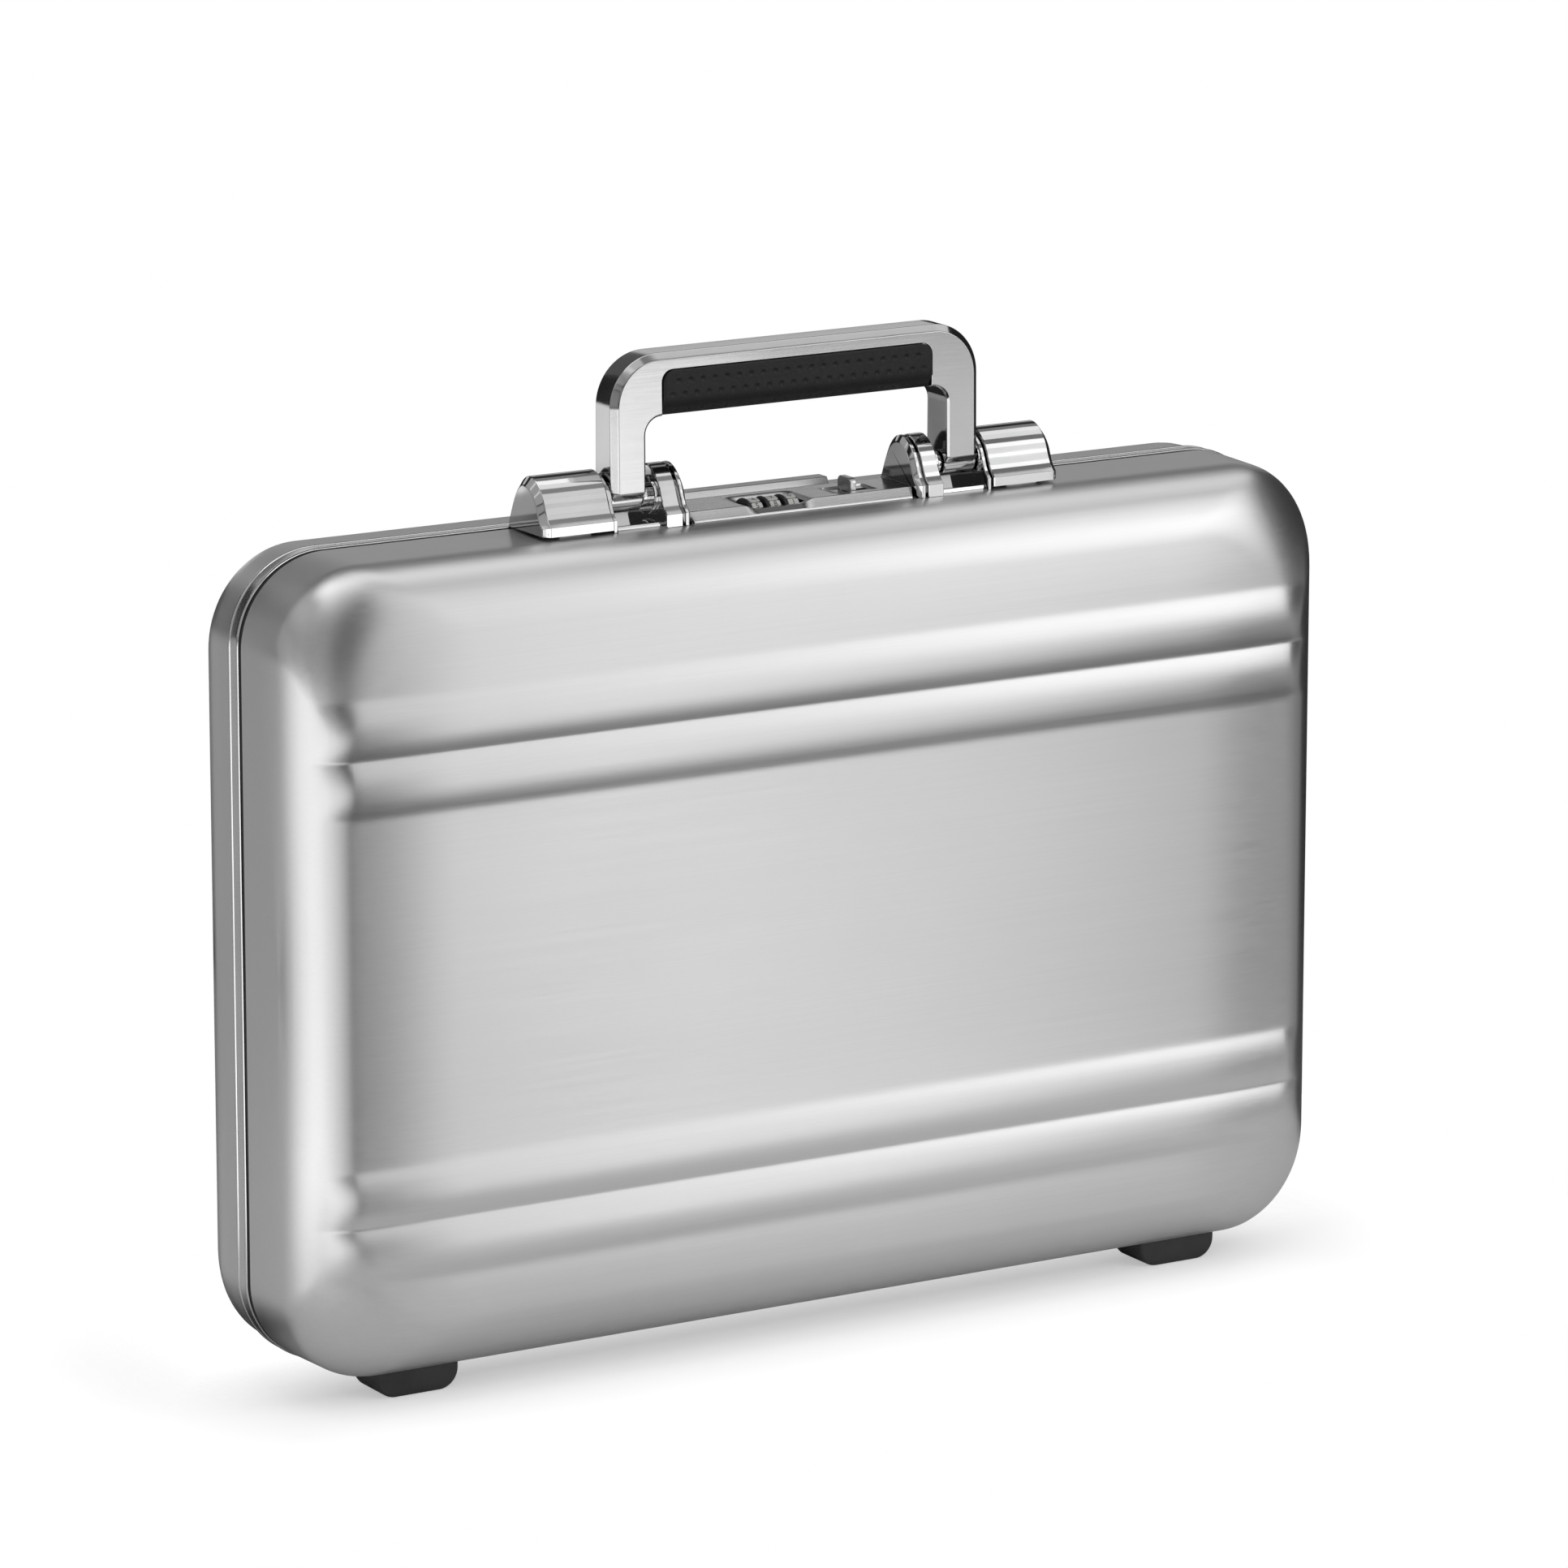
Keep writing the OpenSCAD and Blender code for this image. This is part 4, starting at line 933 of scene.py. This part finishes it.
gx = grid_lines(-LP, LP, [hx0, hx1, sx0, sx1, rx0 - 4.5, rx0, rx1, rx1 - 0.12, rx1 - 0.25, DIAL_C - 15.2, DIAL_C + 15.2, -LP + 0.15, -LP + 0.4, LP - 0.15, LP - 0.4], 0.7)
gy = grid_lines(-22.8, -1.2, [hy0, hy1, sy0, sy1, ry0, ry0 + 0.12, ry0 + 0.25, ry1, ry1 - 0.12, ry1 - 0.25, -4.8, -8.4, -22.4, -22.65, -1.35, -1.6], 0.7)
rowsv = []
for y in gy[::-1]:
    rowsv.append((y, None))
bevel = [(-22.98, -0.06), (-23.2, -0.24), (-25.85, -3.04), (-26.02, -3.3), (-26.12, -3.55), (-26.2, -3.86)]
rowsv += bevel
top_l, bot_l, idx = [], [], {}
for i, (y, dz) in enumerate(rowsv):
    for j, x in enumerate(gx):
        idx[i, j] = len(top_l)
        if dz is None:
            e1 = min(LP - abs(x), -1.2 - y)
            edge = 0.28 * (1 - math.sqrt(max(0.0, 1 - (1 - min(e1, 0.4) / 0.4) ** 2)))
            z = TOPZ - depth(x, y) - edge
            xx = x
        else:
            lim = LP - max(0.0, (-23.0 - y)) * 0.42
            xx = x * lim / LP
            z = TOPZ + dz
            if abs(x) > LP - 0.3:
                z -= 0.12
        if y < -20.5 and dz is not None:
            # the well reaches the front edge, so the bevel starts lower there
            d_ = depth(x, -22.6)
            z = min(z, TOPZ - d_ - 0.02)
        top_l.append((xx, y, z))
        bot_l.append((xx, y, ZT - 0.36 - 0.01 * (y < -25) + max(0.0, (y + 26.2)) * 0.0168))
cells = []
for i in range(len(rowsv) - 1):
    for j in range(len(gx) - 1):
        xm, ym = (gx[j] + gx[j + 1]) / 2, (rowsv[i][0] + rowsv[i + 1][0]) / 2
        if hx0 < xm < hx1 and hy0 < ym < hy1:
            continue
        if sx0 < xm < sx1 and sy0 < ym < sy1:
            continue
        cells.append((idx[i, j], idx[i, j + 1], idx[i + 1, j + 1], idx[i + 1, j]))
N = len(top_l)
faces = list(cells) + [tuple(N + k for k in reversed(c)) for c in cells]
used = {}
for c in cells:
    for a_, b_ in zip(c, c[1:] + c[:1]):
        key = frozenset((a_, b_))
        used[key] = None if key in used else (a_, b_)
faces += [(ab[1], ab[0], ab[0] + N, ab[1] + N) for ab in used.values() if ab]
verts = top_l + bot_l
keep = sorted({i for f_ in faces for i in f_})
at = {i: k for k, i in enumerate(keep)}
make("lock_cover", [verts[i] for i in keep], [tuple(at[i] for i in f_) for f_ in faces], "base", M_SATIN, "satin_chrome", ["lock_plate"], sharp=28)

# ------------------------------------------------------------------ dials
for k, (body, node, x) in enumerate((("dial_a", "dial_1", DIAL_C - DIAL_P), ("dial_b", "dial_2", DIAL_C), ("dial_c", "dial_3", DIAL_C + DIAL_P))):
    def disc(bb, prof, n_=60):
        bb.loft([[(x + px, DIAL_Y + r_ * math.cos(2 * math.pi * a / n_), DIAL_Z + r_ * math.sin(2 * math.pi * a / n_)) for a in range(n_)] for px, r_ in prof], close=True)

    drum = Build()
    disc(drum, [(-2.7, 1.55), (-2.7, 5.6), (-2.5, 5.75), (3.0, 5.75), (3.2, 5.6), (3.2, 1.55)])
    drum.out("drum_" + body[-1], body, M_HOUSING, "dial_plastic", [node])
    rimd = Build()
    disc(rimd, [(-3.85, 1.6), (-3.85, 6.3), (-3.75, 6.55), (-3.5, 6.72), (-3.2, 6.75), (-2.9, 6.72), (-2.68, 6.5), (-2.62, 6.2), (-2.62, 1.6)])
    rimd.out("dial_rim_" + body[-1], body, M_HOUSING, "satin_chrome")
    tiles, ink = Build(), []
    for q in range(10):
        th = 12 + 90 + 36 * q
        c_, s_ = math.cos(math.radians(th)), math.sin(math.radians(th))
        tile = []
        for lift, o in ((5.4, 0.0), (6.05, 0.0), (6.22, 0.08), (6.28, 0.28)):
            hx_, hy_, rc = 2.3 - o, 1.5 - o, 0.5
            cs = []
            for cx_, cy_, a0 in ((hx_ - rc, hy_ - rc, 0), (-hx_ + rc, hy_ - rc, 90), (-hx_ + rc, -hy_ + rc, 180), (hx_ - rc, -hy_ + rc, 270)):
                cs += arc(cx_, cy_, rc, a0, a0 + 90, 4)
            # radial direction (c_, s_) in (y, z); tangent (s_, -c_) points towards +Y at the top
            tile.append([(x + 0.3 + u_, DIAL_Y + lift * c_ + w_ * s_, DIAL_Z + lift * s_ - w_ * c_) for u_, w_ in cs])
        tiles.loft(tile)
        cu = bpy.data.curves.new("n", "FONT")
        cu.body = str((q + 3 * k + 4) % 10)
        cu.size, cu.extrude, cu.align_x, cu.align_y = 0.0031, 0.00003, "CENTER", "CENTER"
        to = bpy.data.objects.new("n", cu)
        bpy.context.scene.collection.objects.link(to)
        bpy.context.view_layer.update()
        me = bpy.data.meshes.new_from_object(to.evaluated_get(bpy.context.evaluated_depsgraph_get()))
        bpy.data.objects.remove(to)
        mt = Matrix(((1, 0, 0, (x + 0.3) * 0.001), (0, s_, c_, (DIAL_Y + 6.285 * c_) * 0.001), (0, -c_, s_, (DIAL_Z + 6.285 * s_) * 0.001), (0, 0, 0, 1)))
        me.transform(mt)
        ink.append(me)
    tiles.out("dial_tiles_" + body[-1], body, M_DIAL, "dial_plastic", sharp=40)
    bm = bmesh.new()
    for me in ink:
        bm.from_mesh(me)
    me = bpy.data.meshes.new("digits")
    bm.to_mesh(me)
    bm.free()
    me.materials.clear()
    me.materials.append(M_INK)
    ob = bpy.data.objects.new("digits_" + body[-1], me)
    bpy.context.scene.collection.objects.link(ob)
    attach(ob, body)

# ------------------------------------------------------------------ release slide
b = Build()


def fin(o):
    y0, y1, z0, z1, r_ = -18.6 + o, -8.8 - o, ZT + 2.95, ZT + 8.25 - o, 2.0
    return [(y0, z0)] + arc(y0 + r_, z1 - r_, r_, 180, 90, 7) + arc(y1 - r_, z1 - r_, r_, 90, 0, 7) + [(y1, z0)]


b.loft([[(x, y, z) for y, z in fin(o)] for x, o in ((25.1, 0.3), (25.18, 0.12), (25.4, 0.0), (27.4, 0.0), (27.62, 0.12), (27.7, 0.3))])
b.loft([[(x, y, z) for x, y in ((25.2, -15.3), (27.6, -15.3), (27.6, -12.7), (25.2, -12.7))] for z in (ZT - 3, ZT + 3.4)])
b.out("slide_fin", "release_slide", M_SATIN, "satin_chrome", ["slide_button"])

# ------------------------------------------------------------------ blank badge plate on the lid
b = Build()


def badge(o):
    return [(15.4 + o * 0.5, ZT - 0.3), (16.3 + o, ZT + 1.95 - o), (16.5 + o, ZT + 2.2 - o * 0.8), (16.8 + o, ZT + 2.3 - o), (22.1 - o, ZT + 2.3 - o), (22.6 - o, ZT + 2.1 - o), (23.1 - o, ZT + 1.6 - o), (23.2 - o, ZT + 1.2 - o), (23.2 - o, ZT - 0.4)]


b.loft([[(x, y, z) for y, z in badge(o)] for x, o in ((-36, 0.45), (-35.9, 0.2), (-35.6, 0.0), (35.6, 0.0), (35.9, 0.2), (36, 0.45))])
b.out("badge_blank", "lid", M_BLANK, "blank_plate", ["badge_plate"])

# ------------------------------------------------------------------ set: floor, lights, camera
scene = bpy.context.scene
me = bpy.data.meshes.new("floor")
# the table has a recess behind the case, so that the lid can fold down past its edge
me.from_pydata([(-0.42, -0.18, 0), (-0.231, -0.18, 0), (0.231, -0.18, 0), (0.36, -0.18, 0), (0.36, 0.036, 0), (0.231, 0.036, 0), (-0.231, 0.036, 0), (-0.42, 0.036, 0),
                (-0.42, 0.34, 0), (-0.231, 0.34, 0), (0.231, 0.34, 0), (0.36, 0.34, 0)], [],
               [(0, 1, 6, 7), (1, 2, 5, 6), (2, 3, 4, 5), (7, 6, 9, 8), (5, 4, 11, 10)])
floor = bpy.data.objects.new("floor", me)
scene.collection.objects.link(floor)
fm = Mat("floor_paper", Roughness=0.9, Specular_IOR_Level=0.0)
fm.colour(fm.noise((3, 3, 3), 1.0, 2.0), (0.93, 0.93, 0.93), (0.95, 0.95, 0.95))
glow = fm.n("ShaderNodeEmission")
# painted light: the table glows for the camera only, and the glow grows with the distance from the case, so the table
# runs into the white background and the shadow next to the case stays darker
where = fm.n("ShaderNodeSeparateXYZ")
fm.link(fm.n("ShaderNodeNewGeometry").outputs["Position"], where.inputs[0])
off_x = fm.math("MAXIMUM", fm.math("SUBTRACT", fm.math("ABSOLUTE", where.outputs[0]), 0.229), 0.0)
off_y = fm.math("MAXIMUM", fm.math("SUBTRACT", fm.math("ABSOLUTE", where.outputs[1]), 0.05), 0.0)
away = fm.math("SQRT", fm.math("ADD", fm.math("MULTIPLY", off_x, off_x), fm.math("MULTIPLY", off_y, off_y)))
fm.link(fm.ranged(away, 0.43, 0.64, 0.0, 0.1), glow.inputs["Strength"])
seen = fm.n("ShaderNodeLightPath")
camera_glow = fm.n("ShaderNodeMixShader")
fm.link(seen.outputs["Is Camera Ray"], camera_glow.inputs[0])
fm.link(glow.outputs[0], camera_glow.inputs[2])
both = fm.n("ShaderNodeAddShader")
fm.link(fm.p.outputs[0], both.inputs[0])
fm.link(camera_glow.outputs[0], both.inputs[1])
# the table fades out towards the recess, so its edge doesn't show beside the case
rim_x = fm.math("SUBTRACT", fm.math("ABSOLUTE", where.outputs[0]), 0.231)
rim_y = fm.math("ADD", fm.math("MULTIPLY", where.outputs[1], -1.0), 0.036)
fade = fm.ranged(fm.math("MAXIMUM", rim_x, rim_y), 0.0, 1.0, 0.0, 0.05)
clear = fm.n("ShaderNodeBsdfTransparent")
soft = fm.n("ShaderNodeMixShader")
fm.link(fade, soft.inputs[0])
fm.link(clear.outputs[0], soft.inputs[1])
fm.link(both.outputs[0], soft.inputs[2])
fm.link(soft.outputs[0], fm.out.inputs[0])
me.materials.append(fm.m)

world = bpy.data.worlds.new("studio")
scene.world = world
world.use_nodes = True
nt = world.node_tree
nt.nodes.clear()
wo = nt.nodes.new("ShaderNodeOutputWorld")
mixw = nt.nodes.new("ShaderNodeMixShader")
lp_ = nt.nodes.new("ShaderNodeLightPath")
bg_cam, bg = nt.nodes.new("ShaderNodeBackground"), nt.nodes.new("ShaderNodeBackground")
bg_cam.inputs["Color"].default_value = (1, 1, 1, 1)
bg_cam.inputs["Strength"].default_value = 1.0
bg.inputs["Color"].default_value = (1, 1, 1, 1)
bg.inputs["Strength"].default_value = 0.027
nt.links.new(lp_.outputs["Is Camera Ray"], mixw.inputs[0])
nt.links.new(bg.outputs[0], mixw.inputs[1])
nt.links.new(bg_cam.outputs[0], mixw.inputs[2])
nt.links.new(mixw.outputs[0], wo.inputs[0])

TARGET = Vector((0.0, 0.0, 0.17))


def softbox(name, az, el, dist, w, h, power, target=TARGET):
    """Area light at an azimuth from the front (towards +X) and an elevation, facing the target."""
    a, e_ = math.radians(az), math.radians(el)
    pos = target + Vector((math.sin(a) * math.cos(e_), -math.cos(a) * math.cos(e_), math.sin(e_))) * dist
    li = bpy.data.lights.new(name, "AREA")
    li.shape, li.size, li.size_y, li.energy = "RECTANGLE", w, h, power
    ob = bpy.data.objects.new(name, li)
    ob.matrix_world = Matrix.Translation(pos) @ (pos - target).to_track_quat("Z", "Y").to_matrix().to_4x4()
    ob.visible_camera = False
    scene.collection.objects.link(ob)
    return ob


# --- softboxes: name, azimuth from the front towards +X, elevation, width, height, watts
SOFTBOXES = [
    ("box_a00", -157.5, -13, 0.453, 0.75, 0.459),
    ("box_a01", -142.5, -13, 0.453, 0.75, 0.45),
    ("box_a02", -127.5, -13, 0.453, 0.75, 0.42),
    ("box_a03", -112.5, -13, 0.453, 0.75, 0.782),
    ("box_a04", -97.5, -13, 0.453, 0.75, 1.36),
    ("box_a05", -82.5, -13, 0.453, 0.75, 1.88),
    ("box_a06", -67.5, -13, 0.453, 0.75, 2.2),
    ("box_a07", -52.5, -13, 0.453, 0.75, 2.19),
    ("box_a08", -37.5, -13, 0.453, 0.75, 1.86),
    ("box_a09", -23.5, -13, 0.392, 0.75, 1.3),
    ("box_a10", -11, -13, 0.361, 0.75, 0.852),
    ("box_a11", 0, -13, 0.301, 0.75, 0.266),
    ("box_a13", 18, -13, 0.24, 0.75, 0.482),
    ("box_a14", 26, -13, 0.24, 0.75, 1.13),
    ("box_a15", 34, -13, 0.24, 0.75, 0.642),
    ("box_a17", 51, -13, 0.301, 0.75, 0.179),
    ("box_a18", 63, -13, 0.422, 0.75, 0.397),
    ("box_a19", 80, -13, 0.606, 0.75, 0.422),
    ("box_e0", -128, 14, 0.85, 0.78, 0.96),
    ("box_e1", -98, 14, 0.85, 0.78, 0.912),
    ("box_e2", -68, 14, 0.85, 0.78, 0.81),
    ("box_e3", -128, 40, 0.85, 0.78, 0.965),
    ("box_e4", -98, 40, 0.85, 0.78, 0.972),
    ("box_e5", -68, 40, 0.85, 0.78, 0.954),
    ("box_e6", -105, 66, 0.85, 0.78, 0.964),
    ("box_e7", -38, 20, 0.85, 0.78, 0.685),
    ("box_e8", -38, 48, 0.85, 0.78, 0.842),
]
for name_, az_, el_, w_, h_, p_ in SOFTBOXES:
    softbox(name_, az_, el_, 1.8, w_, h_, p_)
# long strips over the case, parallel to it: name, start and end angle from the front over the top, start and end in X, watts
STRIPS = [
    ("over_s00m", 2, 13, 0.05, 0.95, 1.16),
    ("over_s00r", 2, 13, 0.95, 2.2, 3.1),
    ("over_s01m", 13, 24, 0.05, 0.95, 0.794),
    ("over_s01r", 13, 24, 0.95, 2.2, 2.22),
    ("over_s02m", 24, 35, 0.05, 0.95, 0.878),
    ("over_s02r", 24, 35, 0.95, 2.2, 3.45),
    ("over_s03m", 35, 47, 0.05, 0.95, 1.06),
    ("over_s03r", 35, 47, 0.95, 2.2, 1.76),
    ("over_s04l", 47, 60, -1, 0.05, 0.161),
    ("over_s04m", 47, 60, 0.05, 0.95, 1.1),
    ("over_s04r", 47, 60, 0.95, 2.2, 2.64),
    ("over_s05l", 60, 74, -1, 0.05, 1.32),
    ("over_s05m", 60, 74, 0.05, 0.95, 0.397),
    ("over_s05r", 60, 74, 0.95, 2.2, 0.385),
    ("over_s06l", 74, 88, -1, 0.05, 2.39),
    ("over_s06m", 74, 88, 0.05, 0.95, 1.4),
    ("over_s06r", 74, 88, 0.95, 2.2, 1.96),
    ("over_s07l", 88, 104, -1, 0.05, 2.09),
    ("over_s07m", 88, 104, 0.05, 0.95, 2.12),
    ("over_s07r", 88, 104, 0.95, 2.2, 2.46),
    ("over_s08", 104, 120, -0.6, 2.2, 1.16),
    ("over_s10", 135, 150, -0.6, 2.2, 0.476),
    ("over_s11", 150, 164, -0.6, 2.2, 2.57),
]
for name_, b0_, b1_, x0_, x1_, p_ in STRIPS:
    bm_ = math.radians((b0_ + b1_) / 2)
    n_ = Vector((0, -math.cos(bm_), math.sin(bm_)))
    c_ = Vector(((x0_ + x1_) / 2, 0, TARGET.z)) + n_ * 1.8
    li = bpy.data.lights.new(name_, "AREA")
    li.shape, li.size, li.size_y, li.energy = "RECTANGLE", x1_ - x0_, 3.6 * math.tan(math.radians((b1_ - b0_) / 2)) * 0.99, p_
    ob = bpy.data.objects.new(name_, li)
    t_ = n_.cross(Vector((1, 0, 0)))
    ob.matrix_world = Matrix(((1, t_.x, n_.x, c_.x), (0, t_.y, n_.y, c_.y), (0, t_.z, n_.z, c_.z), (0, 0, 0, 1)))
    ob.visible_camera = False
    scene.collection.objects.link(ob)
# --- end softboxes

# a small card beside the handle, which the left sides of its chrome legs reflect
li = bpy.data.lights.new("handle_card", "AREA")
li.shape, li.size, li.size_y, li.energy = "RECTANGLE", 0.05, 0.046, 0.006
ob = bpy.data.objects.new("handle_card", li)
ob.location = (-0.18, 0.157, 0.327)
ob.rotation_euler = (Vector(ob.location) - Vector((-0.081, -0.014, 0.365))).to_track_quat("Z", "Y").to_euler()
ob.visible_camera = False
scene.collection.objects.link(ob)

# the camera: long lens, a little above the case, from the front left
YAW, PITCH, DIST = math.radians(-30.913), math.radians(13.048), 3.2108
back = Vector((math.sin(YAW) * math.cos(PITCH), -math.cos(YAW) * math.cos(PITCH), math.sin(PITCH)))
right = Vector((math.cos(YAW), math.sin(YAW), 0))
up = back.cross(right)
cam_d = bpy.data.cameras.new("camera")
cam = bpy.data.objects.new("camera", cam_d)
scene.collection.objects.link(cam)
pos = Vector((0.00656, 0.0, 0.2099)) + back * DIST
cam.matrix_world = Matrix(((right.x, up.x, back.x, pos.x), (right.y, up.y, back.y, pos.y), (right.z, up.z, back.z, pos.z), (0, 0, 0, 1)))
cam_d.sensor_width = 36.0
cam_d.sensor_fit = "HORIZONTAL"
cam_d.lens = 10239.0 * 36.0 / 1932.0
cam_d.clip_end = 50
scene.camera = cam
scene.view_settings.view_transform = "Standard"
scene.view_settings.look = "None"

bpy.context.view_layer.update()
